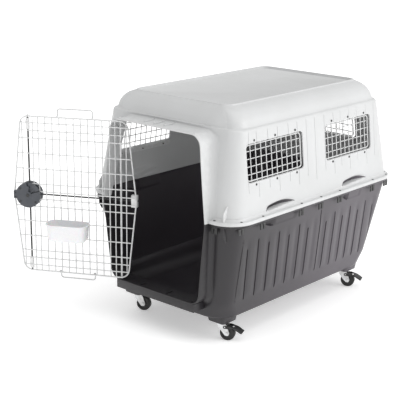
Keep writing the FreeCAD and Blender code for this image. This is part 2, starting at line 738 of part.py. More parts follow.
def make_rod_guide(side):
    """A plastic sleeve that holds a latch rod beside the frame."""
    z0, z1 = side * 220.0, side * 257.0
    sleeve = rod(6.0, at_door(LATCH_X, HINGE_Y, z0), at_door(LATCH_X, HINGE_Y, z1))
    low, high = sorted((side * 222.0, side * 252.0))
    clip = box(LATCH_X - 5.0, LATCH_X + 5.0, HINGE_Y, ROW_Y - MESH_R + WELD, PORTAL_MID_Z + low,
               PORTAL_MID_Z + high)
    bore = rod(LATCH_ROD_R + RUNNING, at_door(LATCH_X, HINGE_Y, z0 - side * 5.0),
               at_door(LATCH_X, HINGE_Y, z1 + side * 5.0))
    return sleeve.fuse(clip).cut(bore)


def make_side_guide():
    """The plastic bracket on the hinge side that holds the side rod's end."""
    x0 = -DOOR_HALF_MID - 1.5
    block = box(x0, x0 + 20.0, SIDE_ROD_Y - 4.5, FRAME_Y - FRAME_R + WELD,
                PORTAL_MID_Z - 20.0, PORTAL_MID_Z + 20.0)
    bore = rod(SIDE_ROD_R + RUNNING, at_door(x0 - 5.0, SIDE_ROD_Y, 0),
               at_door(x0 + 30.0, SIDE_ROD_Y, 0))
    return block.cut(bore)


def latch_disc(radius, y0, y1):
    """A disc about the latch's axis."""
    return rod(radius, at_door(LATCH_X, y0, 0), at_door(LATCH_X, y1, 0))


def sector(r0, r1, start_deg, end_deg, y0, y1):
    """Part of a ring about the latch's axis; angles turn from +X towards +Z."""
    def spot(radius, degrees):
        angle = math.radians(degrees)
        return at_door(LATCH_X + radius * math.cos(angle), y0, radius * math.sin(angle))

    middle = (start_deg + end_deg) / 2.0
    outer = Part.Arc(spot(r1, start_deg), spot(r1, middle), spot(r1, end_deg)).toShape()
    inner = Part.Arc(spot(r0, end_deg), spot(r0, middle), spot(r0, start_deg)).toShape()
    sides = [Part.makeLine(spot(r1, end_deg), spot(r0, end_deg)),
             Part.makeLine(spot(r0, start_deg), spot(r1, start_deg))]
    face = Part.Face(Part.Wire([outer, sides[0], inner, sides[1]]))
    return face.extrude(V(0, y1 - y0, 0))


LATCH_Y0 = ROW_Y + MESH_R + 0.2
LATCH_Y1 = LATCH_Y0 + LATCH_BASE_T
TRIGGER_Y0 = LATCH_Y0 + LATCH_FLOOR_T + 0.2


def latch_bolt_bars(radius, y0, y1):
    """Round bars at the screws that clamp the latch to the mesh."""
    bars = []
    for x, z in LATCH_POSTS:
        bars.append(rod(radius, at_door(LATCH_X + x, y0, z), at_door(LATCH_X + x, y1, z)))
    return bars


def make_latch_base():
    """The round body on the inner side of the mesh, with a nose and a slot for the trigger."""
    disc = latch_disc(LATCH_R, LATCH_Y0, LATCH_Y1)
    nose = box(LATCH_X + 20.0, LATCH_X + LATCH_NOSE, LATCH_Y0, LATCH_Y1 - 1.0,
               PORTAL_MID_Z - 13.0, PORTAL_MID_Z + 13.0)
    posts = latch_bolt_bars(POST_R, LATCH_COVER_Y + LATCH_WALL, LATCH_Y0 + 1.0)
    body = fused([disc, nose] + posts)
    floor = LATCH_Y0 + LATCH_FLOOR_T
    deep = LATCH_Y1 + 5.0
    slots = [box(LATCH_X + 40.0, LATCH_X + 47.0, LATCH_Y1 - 3.5, deep, PORTAL_MID_Z + z - 1.5,
                 PORTAL_MID_Z + z + 1.5) for z in (-7.0, 7.0)]
    cutters = [latch_disc(TRIGGER_HUB_R + RUNNING, floor, deep),
               sector(8.0, TRIGGER_SLOT_R + 1.0, TRIGGER_SLOT_DEG[0] + 14.0,
                      TRIGGER_SLOT_DEG[1] - 2.0, floor, deep),
               sector(TRIGGER_SLOT_R, LATCH_R + 5.0, *TRIGGER_SLOT_DEG, floor, deep),
               latch_disc(2.2, LATCH_Y0 - 1.0, deep)]
    screw_holes = latch_bolt_bars(1.6, LATCH_COVER_Y + LATCH_WALL - 1.0, deep)
    return body.cut(cutters + slots + screw_holes)


def make_latch_cover():
    """The cup on the outer side of the mesh that houses the ends of the rods."""
    back = LATCH_COVER_Y + LATCH_COVER_T
    cup = latch_disc(LATCH_R, LATCH_COVER_Y, back)
    hollow = latch_disc(LATCH_R - LATCH_WALL, LATCH_COVER_Y + LATCH_WALL, back + 1.0)
    gap = LATCH_ROD_R + 0.3
    passages = [
        rod(gap, at_door(LATCH_X, HINGE_Y, -60.0), at_door(LATCH_X, HINGE_Y, 60.0)),
        rod(SIDE_ROD_R + 0.3, at_door(LATCH_X - 60.0, SIDE_ROD_Y, 0),
            at_door(LATCH_X, SIDE_ROD_Y, 0))]
    grip = sector(26.0, 36.0, 20.0, 340.0, LATCH_COVER_Y - 1.0, LATCH_COVER_Y + 1.0)
    screw_holes = latch_bolt_bars(1.6, LATCH_COVER_Y - 1.0, back)
    return cup.cut([hollow, grip] + passages + screw_holes)


def make_latch_trigger():
    """The lever that turns about the latch's axis and draws the rods."""
    y1 = LATCH_Y1 + 0.8
    hub = latch_disc(TRIGGER_HUB_R, TRIGGER_Y0, y1)
    start, end = TRIGGER_GRIP_DEG
    arm = sector(8.0, TRIGGER_SLOT_R + 2.0, start + 12.0, end - 12.0, TRIGGER_Y0, y1 - 2.0)
    grip = sector(TRIGGER_SLOT_R + 1.2, LATCH_R + 1.5, start, end, TRIGGER_Y0, y1)
    return fused([hub, arm, grip]).cut(latch_disc(2.5 + RUNNING, TRIGGER_Y0 - 5.0, y1 + 5.0))


def make_latch_screws():
    """Three clamping screws and the shouldered screw that the trigger turns on."""
    screws = []
    shanks = latch_bolt_bars(1.5, LATCH_COVER_Y + 0.5, LATCH_Y1 + 0.5)
    heads = latch_bolt_bars(3.2, LATCH_Y1 + 0.05, LATCH_Y1 + 1.6)
    for shank, head in zip(shanks, heads):
        screws.append(fused([shank, head]))
    top = LATCH_Y1 + 1.0
    thread = latch_disc(2.1, LATCH_Y0, LATCH_Y0 + LATCH_FLOOR_T + 0.5)
    shoulder = latch_disc(2.5, LATCH_Y0 + LATCH_FLOOR_T + 0.05, top + 1.0)
    cap = latch_disc(5.5, top, top + 2.0)
    screws.append(fused([thread, shoulder, cap]))
    return Part.makeCompound(screws)


def make_bowl():
    """A tapered water bowl with two hooks over one level wire."""
    z1 = PORTAL_MID_Z + BOWL_TOP
    z0 = z1 - BOWL_HEIGHT
    back = ROW_Y + MESH_R + BOWL_GAP
    half_y = BOWL_DEPTH / 2.0
    outer = stack([(BOWL_HALF_X - 12.0, half_y - 7.0, 20.0, z0),
                   (BOWL_HALF_X - 6.0, half_y - 3.0, 24.0, z0 + 8.0),
                   (BOWL_HALF_X - 3.0, half_y - 1.5, 26.0, z1 - 3.0)])
    rim = slab(BOWL_HALF_X, half_y, 27.0, z1 - 3.0, z1)
    t = BOWL_WALL
    inner = stack([(BOWL_HALF_X - 13.0 - t, half_y - 8.0 - t, 18.0, z0 + t),
                   (BOWL_HALF_X - 6.0 - t, half_y - 3.0 - t, 22.0, z0 + 8.0 + t),
                   (BOWL_HALF_X - 2.0 - t, half_y - 1.0 - t, 25.0, z1 + 1.0)])
    bowl = fused([outer, rim])
    bowl.translate(V(BOWL_X, back + half_y, 0))
    inner.translate(V(BOWL_X, back + half_y, 0))
    wire_z = PORTAL_MID_Z - BOWL_ROW * ROW_STEP
    over = wire_z + MESH_R + BOWL_GAP
    flap_y = ROW_Y - MESH_R - BOWL_GAP
    hooks = []
    for x in (BOWL_X - COLUMN_PITCH, BOWL_X + COLUMN_PITCH):
        hooks.append(box(x - 6.0, x + 6.0, flap_y - 3.0, back + 2.5, over, over + 3.0))
        hooks.append(box(x - 6.0, x + 6.0, flap_y - 3.0, flap_y, over - 9.0, over + 3.0))
        hooks.append(box(x - 6.0, x + 6.0, back, back + 2.5, over - 12.0, z1))
    return fused([bowl] + hooks).cut(inner)


DOOR_PARTS = {
    "door_frame": make_door_frame,
    "door_upright_wires": make_door_columns,
    "door_level_wires": make_door_rows,
    "door_top_loop": lambda: make_door_loop(1),
    "door_bottom_loop": lambda: make_door_loop(-1),
    "door_hinge_rod": make_hinge_rod,
    "latch_upper_rod": lambda: make_vertical_rod(1),
    "latch_lower_rod": lambda: make_vertical_rod(-1),
    "latch_side_rod": make_side_rod,
    "rod_guide_top": lambda: make_rod_guide(1),
    "rod_guide_bottom": lambda: make_rod_guide(-1),
    "rod_guide_side": make_side_guide,
    "latch_base": make_latch_base,
    "latch_cover": make_latch_cover,
    "latch_trigger": make_latch_trigger,
    "latch_screws": make_latch_screws,
    "water_bowl": make_bowl,
}


def opened(shape):
    """Swing a part of the closed door to its rest pose."""
    shape.rotate(V(HINGE_X, HINGE_Y, 0), Z_AXIS, -DOOR_OPEN_DEG)
    return shape


# ---------------------------------------------------------------- casters

CASTERS = {
    "front_right": (1, -1),
    "front_left": (-1, -1),
    "rear_right": (1, 1),
    "rear_left": (-1, 1),
}
BRAKED = ("front_right", "rear_right")


def caster_bolt_places():
    """Plan positions of the bolts that hold the caster plates."""
    places = []
    for sx, sy in CASTERS.values():
        for dx in (-PLATE_BOLT, PLATE_BOLT):
            for dy in (-PLATE_BOLT, PLATE_BOLT):
                places.append((sx * CASTER_X + dx, sy * CASTER_Y + dy))
    return places


def make_caster_bolts():
    """Round-headed bolts, one in each corner of the caster plates."""
    bolts = []
    for x, y in caster_bolt_places():
        low = PLATE_TOP_Z - PLATE_T
        shank = rod(2.4, (x, y, low - 0.5), (x, y, PLATE_TOP_Z + 14.0))
        head = rod(4.0, (x, y, low - 2.2), (x, y, low - 0.05))
        bolts.append(fused([shank, head]))
    return Part.makeCompound(bolts)


def make_caster_plate():
    """The square mounting plate with its riveted kingpin, about the swivel's axis."""
    low = PLATE_TOP_Z - PLATE_T
    plate = slab(PLATE_HALF, PLATE_HALF, 4.0, low, PLATE_TOP_Z)
    holes = [rod(2.6, (x, y, low - 1.0), (x, y, PLATE_TOP_Z + 1.0))
             for x in (-PLATE_BOLT, PLATE_BOLT) for y in (-PLATE_BOLT, PLATE_BOLT)]
    pin = rod(KINGPIN_R, (0, 0, low - 9.5), (0, 0, low + 0.5))
    rivet = rod(6.5, (0, 0, low - 9.7), (0, 0, low - 7.6))
    return fused([plate, pin, rivet]).cut(holes)


def make_fork():
    """The pressed fork: raceway, web and two legs that reach back to the axle."""
    top = PLATE_TOP_Z - PLATE_T - 0.3
    raceway = rod(15.0, (0, 0, top - 4.2), (0, 0, top))
    outer = FORK_HALF_GAP + FORK_T
    web = box(-13.0, 13.0, -outer, outer, top - 6.8, top - 4.0)
    legs = []
    for side in (-1, 1):
        y0 = min(side * FORK_HALF_GAP, side * outer)
        points = [V(-13.0, y0, top - 4.0), V(13.0, y0, top - 4.0), V(20.0, y0, top - 11.0),
                  V(CASTER_TRAIL + 9.0, y0, WHEEL_R + 1.0), V(CASTER_TRAIL + 5.0, y0, WHEEL_R - 8.0),
                  V(CASTER_TRAIL - 6.0, y0, WHEEL_R - 7.0), V(-9.0, y0, top - 17.0)]
        path = filleted_path(points, [1.0, 1.0, 8.0, 6.0, 6.0, 6.0, 10.0], closed=True)
        legs.append(Part.Face(path).extrude(V(0, FORK_T, 0)))
    holes = [rod(KINGPIN_R + RUNNING, (0, 0, top - 20.0), (0, 0, top + 5.0)),
             rod(AXLE_R, (CASTER_TRAIL, -30.0, WHEEL_R), (CASTER_TRAIL, 30.0, WHEEL_R))]
    return fused([raceway, web] + legs).cut(holes)


def make_axle():
    """The wheel's bolt and its nut."""
    outer = FORK_HALF_GAP + FORK_T
    shank = rod(AXLE_R, (CASTER_TRAIL, -outer - 1.0, WHEEL_R), (CASTER_TRAIL, outer + 1.0, WHEEL_R))
    ends = [rod(5.0, (CASTER_TRAIL, side * outer, WHEEL_R),
                (CASTER_TRAIL, side * (outer + 2.6), WHEEL_R)) for side in (-1, 1)]
    return fused([shank] + ends)


def make_hub():
    """The wheel's plastic centre."""
    y = WHEEL_HALF_T
    disc = rod(TYRE_INNER_R, (CASTER_TRAIL, -y + 2.0, WHEEL_R), (CASTER_TRAIL, y - 2.0, WHEEL_R))
    boss = rod(7.0, (CASTER_TRAIL, -FORK_HALF_GAP + 0.4, WHEEL_R),
               (CASTER_TRAIL, FORK_HALF_GAP - 0.4, WHEEL_R))
    bore = rod(AXLE_R + RUNNING, (CASTER_TRAIL, -20.0, WHEEL_R), (CASTER_TRAIL, 20.0, WHEEL_R))
    return fused([disc, boss]).cut(bore)


def make_tyre():
    """The rubber tread with rounded shoulders."""
    y = WHEEL_HALF_T
    points = [V(CASTER_TRAIL, -y, WHEEL_R + TYRE_INNER_R), V(CASTER_TRAIL, -y, 2.0 * WHEEL_R),
              V(CASTER_TRAIL, y, 2.0 * WHEEL_R), V(CASTER_TRAIL, y, WHEEL_R + TYRE_INNER_R)]
    path = filleted_path(points, [0.0, 3.0, 3.0, 0.0])
    section = Part.Face(Part.Wire(path.Edges + [Part.makeLine(points[3], points[0])]))
    return section.revolve(V(CASTER_TRAIL, 0, WHEEL_R), Y_AXIS, 360.0)


def make_pedal():
    """The drooping brake pedal: two arms outside the fork and a tread past the wheel."""
    outer = FORK_HALF_GAP + FORK_T
    half_y = outer + 2.3
    points = [V(x, -half_y, z) for x, z, _ in PEDAL_OUTLINE]
    path = filleted_path(points, [radius for _, _, radius in PEDAL_OUTLINE], closed=True)
    whole = Part.Face(path).extrude(V(0, 2.0 * half_y, 0))
    fork_space = box(-WHEEL_R, PEDAL_TREAD_X, -outer - 0.3, outer + 0.3, 0.0, PLATE_TOP_Z)
    pedal_x, pedal_z = PEDAL_PIVOT
    bore = rod(2.0 + RUNNING, (pedal_x, -30.0, pedal_z), (pedal_x, 30.0, pedal_z))
    return whole.cut([fork_space, bore])


def make_fork_with_pivots():
    """The fork of a braked caster, with two pins for the pedal."""
    x, z = PEDAL_PIVOT
    outer = FORK_HALF_GAP + FORK_T
    pins = [rod(2.0, (x, side * FORK_HALF_GAP, z), (x, side * (outer + 2.8), z))
            for side in (-1, 1)]
    return fused([make_fork()] + pins)


def swivelled(shape, corner):
    """Move a caster part from its swivel's own axis to a corner of the base."""
    sx, sy = corner
    shape.rotate(V(0, 0, 0), Z_AXIS, CASTER_HEADING_DEG)
    shape.translate(V(sx * CASTER_X, sy * CASTER_Y, 0))
    return shape


def make_casters():
    """Every caster's pieces, by node name."""
    parts = {}
    for name, corner in CASTERS.items():
        braked = name in BRAKED
        plate = make_caster_plate()
        plate.translate(V(corner[0] * CASTER_X, corner[1] * CASTER_Y, 0))
        parts["caster_plate_" + name] = plate
        fork = make_fork_with_pivots() if braked else make_fork()
        parts["caster_fork_" + name] = swivelled(fork, corner)
        parts["caster_axle_" + name] = swivelled(make_axle(), corner)
        parts["caster_hub_" + name] = swivelled(make_hub(), corner)
        parts["caster_tyre_" + name] = swivelled(make_tyre(), corner)
        if braked:
            parts["brake_pedal_" + name] = swivelled(make_pedal(), corner)
    return parts


# ---------------------------------------------------------------- whole carrier

def make_parts():
    """Every piece at rest, by node name, about the middle of the body."""
    parts = {
        "bottom_shell": make_bottom_shell(),
        "top_shell": make_top_shell(),
        "rim_bolts": make_rim_bolts(),
        "rim_nuts": make_rim_nuts(),
        "grille_screws": make_grille_screws(),
        "caster_bolts": make_caster_bolts(),
    }
    for name, (place, length) in WINDOWS.items():
        parts[name] = make_grille(place, length)
    for name, build in DOOR_PARTS.items():
        parts[name] = opened(build())
    parts.update(make_casters())
    return parts


def footprint_middle(parts):
    """The plan centre of everything, with the door open."""
    whole = Part.makeCompound(list(parts.values())).optimalBoundingBox(False)
    return V(whole.Center.x, whole.Center.y, whole.ZMin)


def main():
    """Write one STEP file for each piece, with the origin on the floor mid-footprint."""
    os.makedirs("parts", exist_ok=True)
    parts = make_parts()
    origin = footprint_middle(parts)
    for name, shape in parts.items():
        shape.translate(origin * -1.0)
        shape.exportStep(os.path.join("parts", name + ".step"))
    print("origin", origin, "pieces", len(parts))


main()
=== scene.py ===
import bmesh
import bpy
import json
import math
from mathutils import Matrix, Vector


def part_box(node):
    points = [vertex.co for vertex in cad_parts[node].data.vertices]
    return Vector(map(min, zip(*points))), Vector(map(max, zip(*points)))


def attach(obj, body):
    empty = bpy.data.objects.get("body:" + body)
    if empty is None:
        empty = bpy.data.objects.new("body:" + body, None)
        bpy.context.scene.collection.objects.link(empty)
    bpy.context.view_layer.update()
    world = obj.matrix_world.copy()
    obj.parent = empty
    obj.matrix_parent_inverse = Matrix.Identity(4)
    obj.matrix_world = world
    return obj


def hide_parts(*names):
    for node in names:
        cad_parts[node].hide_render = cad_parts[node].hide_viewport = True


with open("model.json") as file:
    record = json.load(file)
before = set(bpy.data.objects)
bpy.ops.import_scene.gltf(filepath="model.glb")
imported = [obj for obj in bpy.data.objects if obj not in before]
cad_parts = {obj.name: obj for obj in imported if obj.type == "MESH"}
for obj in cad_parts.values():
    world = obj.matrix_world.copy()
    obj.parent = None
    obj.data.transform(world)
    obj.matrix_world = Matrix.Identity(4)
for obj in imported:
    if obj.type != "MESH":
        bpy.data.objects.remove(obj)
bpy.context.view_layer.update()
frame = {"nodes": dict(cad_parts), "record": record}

MM = 0.001

# Shapes are drawn in millimetres about the middle of the carrier's body, with the door to -Y and the
# floor at z = 0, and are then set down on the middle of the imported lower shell.
RIM_HALF_X, RIM_HALF_Y, RIM_CORNER = 325.0, 453.0, 86.0
SHELL_LOW, SHELL_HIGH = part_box("top_shell")
CENTRE = Vector(((SHELL_LOW.x + SHELL_HIGH.x) / 2.0, SHELL_HIGH.y - RIM_HALF_Y * MM, 0.0))

# The two shells
WALL = 4.0
RIM_Z = 421.0
BASE_Z, BASE_EDGE = 88.0, 8.0
WALL_HALF_X, WALL_HALF_Y, WALL_CORNER = 310.0, 438.0, 60.0
BASE_HALF_X, BASE_HALF_Y, BASE_CORNER = 241.5, 403.0, 50.0
WALL_FOOT_Z = BASE_Z + BASE_EDGE
BELT_Z = 704.0
WALL_TOP_Z = BELT_Z - 6.0
BELT_HALF_X, BELT_HALF_Y, BELT_CORNER = 281.0, 388.0, 46.0
BELT_STEP = 11.0
ROOF_Z = 768.0
TRAY_HALF_X, TRAY_HALF_Y, TRAY_DEPTH = 199.0, 339.0, 7.0

# Doorway, windows and the holes for the door's rods
PORTAL_MID_Z, PORTAL_HALF_Z = 418.0, 269.0
PORTAL_HALF_TOP, PORTAL_HALF_MID = 189.0, 219.0
PORTAL_CORNER, PORTAL_MID_CORNER = 38.0, 110.0
PORTAL_FRONT_Y, PORTAL_BULGE, PORTAL_COVE_R = -459.0, 8.0, 16.0
SILL_BOTTOM_Z, SILL_HALF_X = 118.0, 172.0
WINDOW_HEIGHT, WINDOW_Z, WINDOW_CORNER = 120.0, 600.5, 13.0
SIDE_WINDOWS = ((-216.5, 281.0), (178.5, 264.0))
REAR_WINDOW_LENGTH = 332.0
DOORWAY_CUT_Y = (-600.0, -330.0)
SIDE_CUT_X, REAR_CUT_Y = (200.0, 400.0), (350.0, 500.0)
DOOR_PIN_X, DOOR_PIN_Y = 157.0, -450.0
SIDE_PIN_Y = -456.0
HINGE_HOLE_R, LATCH_HOLE_R, SIDE_HOLE_R, HOLE_SIDES = 3.6, 4.0, 3.5, 24
VISOR_RIBS_X = (-60.0, -17.0, 26.0)
SILL_WEBS_X = (-SILL_HALF_X + 2.0, -60.0, 60.0, SILL_HALF_X - 2.0)
SILL_TREADS_X = (-69.0, 48.0)

# Caster feet, as half width, corner radius and height, and the fins at the corners of the rim
CASTER_X, CASTER_Y = 189.0, 340.0
FOOT_SECTIONS = ((31.5, 8.0, 65.0), (33.0, 8.0, 66.2), (35.0, 10.0, 74.0), (37.0, 14.0, 81.0),
                 (38.0, 18.0, BASE_Z + 3.0))
FIN_X, FIN_HIGH_Z, FIN_LOW_Z, FIN_T = 272.0, 479.0, 365.0, 3.0

# Section of each half of the rim, as distance beyond the wall and height above the joint
UPPER_RIM = ((-2.0, 0.0), (14.0, 0.0), (15.0, 1.0), (15.0, 9.0), (14.2, 10.6), (12.5, 11.0), (3.2, 11.2),
             (1.0, 13.0), (-0.2, 16.0), (-2.0, 19.0))
LOWER_RIM = ((-6.0, -0.2), (-6.0, -14.0), (-1.0, -10.0), (1.5, -8.0), (10.0, -7.6), (11.0, -6.6),
             (11.0, -0.2))

# Slanted grooves of the dark side walls, from their lower ends, and pleats of the white walls
GROOVE_BOTTOM_Z, GROOVE_TOPS_Z, GROOVE_CENTRE_TOP_Z, GROOVE_SLANT = 142.0, (355.0, 330.0), 381.0, 0.17
GROOVES_Y = (-312.0, -260.0, -206.0, -155.0, -102.0, -48.0, 0.0, 68.0, 102.0, 151.0, 198.0, 243.0, 291.0,
             336.0, 384.0)
PLEATS_Y = (-355.0, -306.0, -252.0, -203.0, -149.0, -102.0, -54.0, -8.0, 44.0, 95.0, 136.0, 186.0, 231.0,
            286.0, 335.0)
PLEATS_X = (-148.5, -99.0, -49.5, 0.0, 49.5, 99.0, 148.5)
PLEAT_FEET_Z = (508.0, 488.0)
PLEAT_PITCH, PLEAT_LEAN, PLEAT_HALF_W, PLEAT_DEPTH = 49.5, 1.3, 1.3, 1.0
PANEL_PITCH, PANEL_LEAN, GROOVE_HALF_W, GROOVE_DEPTH = 49.7, 2.0, 2.8, 3.7

# Hand grips and the pockets under the rim, as start and length along Y
GRIPS = ((-280.0, 160.0), (131.0, 155.0))
POCKETS = ((-296.0, 176.0), (137.0, 108.0))
GRIP_LIP_Z, GRIP_LIP_RISE = 439.0, 8.0
GRIP_DEPTH, GRIP_BULGE = 15.0, 5.0
# Painted-shadow crescents in the hand grips: how far they stand proud of the wall, and their thickness
SHADOW_CRESCENT_PROUD, SHADOW_CRESCENT_T = 1.2, 2.5
POCKET_DEPTH, POCKET_OUTLINE_DEPTH = 11.0, 1.6
POCKET_LOW_Z, POCKET_DIP = 399.0, 15.0

# The arched band over the door
BAND_CREST_Z, BAND_CREST_X, BAND_DROP = 712.0, -25.0, 12.0
BAND_RIDGE, BAND_FLUSH = 5.0, 9.0
RELIEF_TOP_Z = 756.0


# ---------------------------------------------------------------- node materials

class Nodes:
    """A principled material whose colour, roughness and relief are built up node by node."""

    def __init__(self, name):
        self.material = bpy.data.materials.new(name)
        self.material.use_nodes = True
        self.tree = self.material.node_tree
        self.shader = self.tree.nodes["Principled BSDF"]
        self.where = self.add("ShaderNodeTexCoord").outputs["Object"]
        self.height = None

    def add(self, kind, **settings):
        node = self.tree.nodes.new(kind)
        for key, value in settings.items():
            setattr(node, key, value)
        return node

    def feed(self, socket, value):
        """Link or set one input."""
        if isinstance(value, bpy.types.NodeSocket):
            self.tree.links.new(value, socket)
        else:
            socket.default_value = value

    def stretched(self, scale):
        """Object coordinates scaled by three factors."""
        node = self.add("ShaderNodeMapping")
        self.feed(node.inputs["Vector"], self.where)
        node.inputs["Scale"].default_value = scale
        return node.outputs["Vector"]

    def noise(self, scale, detail=3.0, roughness=0.55, vector=None):
        node = self.add("ShaderNodeTexNoise")
        self.feed(node.inputs["Vector"], vector if vector else self.where)
        node.inputs["Scale"].default_value = scale
        node.inputs["Detail"].default_value = detail
        node.inputs["Roughness"].default_value = roughness
        return node.outputs["Fac"]

    def cells(self, scale, vector=None):
        node = self.add("ShaderNodeTexVoronoi")
        self.feed(node.inputs["Vector"], vector if vector else self.where)
        node.inputs["Scale"].default_value = scale
        return node.outputs["Distance"]

    def spread(self, value, low, high, out_low, out_high):
        """A value mapped from one range to another, and clamped."""
        node = self.add("ShaderNodeMapRange")
        self.feed(node.inputs["Value"], value)
        for key, number in (("From Min", low), ("From Max", high), ("To Min", out_low),
                            ("To Max", out_high)):
            node.inputs[key].default_value = number
        return node.outputs["Result"]

    def math(self, operation, a, b):
        node = self.add("ShaderNodeMath", operation=operation)
        self.feed(node.inputs[0], a)
        self.feed(node.inputs[1], b)
        return node.outputs[0]

    def mix(self, share, a, b):
        node = self.add("ShaderNodeMix", data_type="RGBA")
        self.feed(node.inputs["Factor"], share)
        self.feed(node.inputs["A"], a)
        self.feed(node.inputs["B"], b)
        return node.outputs["Result"]

    def edges(self, low, high):
        """1 on sharp outer edges, 0 elsewhere."""
        point = self.add("ShaderNodeNewGeometry").outputs["Pointiness"]
        return self.spread(point, low, high, 0.0, 1.0)

    def relief(self, height, strength, distance):
        """Add one layer of bump."""
        node = self.add("ShaderNodeBump")
        self.feed(node.inputs["Height"], height)
        node.inputs["Strength"].default_value = strength
        node.inputs["Distance"].default_value = distance
        if self.height:
            self.feed(node.inputs["Normal"], self.height)
        self.height = node.outputs["Normal"]

    def finish(self, colour, roughness, **fixed):
        self.feed(self.shader.inputs["Base Color"], colour)
        self.feed(self.shader.inputs["Roughness"], roughness)
        for key, value in fixed.items():
            self.shader.inputs[key.replace("_", " ")].default_value = value
        if self.height:
            self.feed(self.shader.inputs["Normal"], self.height)
        return self.material


def grey(level, tint=(1.0, 1.0, 1.0)):
    return (level * tint[0], level * tint[1], level * tint[2], 1.0)


# Where the painted shade along a body, darker towards the front, starts and ends, in metres along Y
PAINTED_SHADE_FRONT_Y, PAINTED_SHADE_REAR_Y = -0.42, 0.30


def moulded_plastic(name, base, shade, rough, grain=900.0, wear=0.0, worn=None, painted_shade=None, **fixed):
    """Moulded plastic: fine spark grain, faint flow marks, cloudy colour and paler worn edges.

    The painted-shade argument gives the share of its tone that a body keeps at the front and at the rear.
    It is painted shade, darker towards the front, and not a change in the plastic.
    """
    n = Nodes(name)
    cloud = n.noise(5.0, 4.0)
    flow = n.noise(3.0, 2.0, vector=n.stretched((1.0, 1.0, 0.15)))
    colour = n.mix(n.spread(cloud, 0.35, 0.65, 0.0, 1.0), base, shade)
    if wear:
        scuffs = n.math("MULTIPLY", n.edges(0.51, 0.56), n.spread(n.noise(60.0), 0.4, 0.6, 0.0, wear))
        colour = n.mix(scuffs, colour, worn)
    # Painted shade: the colour is darkened towards the front of the body.
    if painted_shade:
        place = n.add("ShaderNodeSeparateXYZ")
        n.feed(place.inputs["Vector"], n.where)
        share = n.spread(place.outputs["Y"], PAINTED_SHADE_FRONT_Y, PAINTED_SHADE_REAR_Y, painted_shade[0], painted_shade[1])
        colour = n.mix(share, grey(0.0), colour)
    fine = n.noise(grain, 2.0, 0.6)
    n.relief(fine, 0.12, 0.0003)
    n.relief(flow, 0.05, 0.002)
    roughness = n.math("ADD", n.spread(fine, 0.3, 0.7, rough - 0.05, rough + 0.05),
                       n.spread(cloud, 0.3, 0.7, -0.03, 0.03))
    return n.finish(colour, roughness, **fixed)


def coated_wire(name, base, shade, rough):
    """Steel wire dipped in plastic: a soft skin with small runs along it."""
    n = Nodes(name)
    runs = n.noise(120.0, 3.0)
    colour = n.mix(n.spread(runs, 0.4, 0.65, 0.0, 1.0), base, shade)
    n.relief(runs, 0.2, 0.0004)
    n.relief(n.noise(900.0), 0.08, 0.0001)
    return n.finish(colour, n.spread(runs, 0.3, 0.7, rough - 0.06, rough + 0.08))


def zinc(name):
    """Bright zinc plating with spangle, rolling marks and duller patches."""
    n = Nodes(name)
    spangle = n.cells(240.0)
    streaks = n.noise(90.0, 2.0, vector=n.stretched((1.0, 1.0, 8.0)))
    patch = n.noise(45.0, 4.0)
    colour = n.mix(n.spread(patch, 0.35, 0.7, 0.0, 1.0), grey(0.80, (0.98, 1.0, 1.02)),
                   grey(0.60, (1.0, 0.99, 0.97)))
    n.relief(spangle, 0.06, 0.0003)
    n.relief(streaks, 0.05, 0.0002)
    roughness = n.math("ADD", n.spread(spangle, 0.0, 0.6, 0.22, 0.34), n.spread(patch, 0.3, 0.7, 0.0, 0.08))
    return n.finish(colour, roughness, Metallic=0.85)


def tyre_rubber(name):
    """Hard caster rubber: matt, dusty where it rolls, with a fine moulding grain."""
    n = Nodes(name)
    dust = n.noise(80.0, 5.0)
    colour = n.mix(n.spread(dust, 0.45, 0.75, 0.0, 0.5), grey(0.012), grey(0.06, (1.05, 1.0, 0.95)))
    n.relief(n.noise(700.0), 0.25, 0.0003)
    return n.finish(colour, n.spread(dust, 0.3, 0.7, 0.42, 0.65))


WHITE = moulded_plastic("white_shell", grey(0.60, (0.99, 1.0, 1.005)), grey(0.57, (0.99, 1.0, 1.0)), 0.40,
                        wear=0.15, worn=grey(0.82))
# The charcoal shell carries painted shade, darkened to 0.12 of its tone at the front and full at the rear.
CHARCOAL = moulded_plastic("charcoal_shell", grey(0.078, (1.07, 0.95, 1.11)),
                           grey(0.070, (1.07, 0.95, 1.11)), 0.36, wear=0.3, painted_shade=(0.12, 1.0),
                           worn=grey(0.13, (1.0, 0.98, 1.02)))
SLATE = moulded_plastic("slate_latch", grey(0.066, (0.92, 1.0, 1.18)), grey(0.062, (0.92, 1.0, 1.16)), 0.42,
                        wear=0.12, worn=grey(0.12))
BLACK_PLASTIC = moulded_plastic("black_plastic", grey(0.010), grey(0.014), 0.34, wear=0.4,
                                worn=grey(0.05))
GUIDE = moulded_plastic("guide_plastic", grey(0.80), grey(0.76), 0.30, grain=500.0)
BOWL = moulded_plastic("bowl_plastic", grey(0.86, (0.985, 0.99, 1.02)), grey(0.82), 0.28, grain=400.0,
                       Subsurface_Weight=0.12, Subsurface_Scale=0.004)
WIRE = coated_wire("white_wire", grey(0.70, (0.99, 1.0, 1.0)), grey(0.62), 0.34)
ROD = coated_wire("black_rod", grey(0.018), grey(0.03), 0.36)
SCREW = coated_wire("black_screw", grey(0.02), grey(0.045), 0.38)
ZINC = zinc("zinc_steel")
RUBBER = tyre_rubber("tyre_rubber")

FINISHES = {
    "white_plastic": WHITE, "charcoal_plastic": CHARCOAL, "white_wire": WIRE, "black_rod": ROD,
    "guide_plastic": GUIDE, "slate_plastic": SLATE, "bowl_plastic": BOWL, "black_fastener": SCREW,
    "zinc_steel": ZINC, "hub_plastic": BLACK_PLASTIC, "tyre_rubber": RUBBER,
    "pedal_plastic": BLACK_PLASTIC,
}
NODE_FINISHES = {"door_hinge_rod": WIRE, "latch_screws": SCREW}


def smooth(mesh, degrees=35.0):
    """Smooth shading, kept sharp at edges that turn more than an angle."""
    for polygon in mesh.polygons:
        polygon.use_smooth = True
    mesh.set_sharp_from_angle(angle=math.radians(degrees))


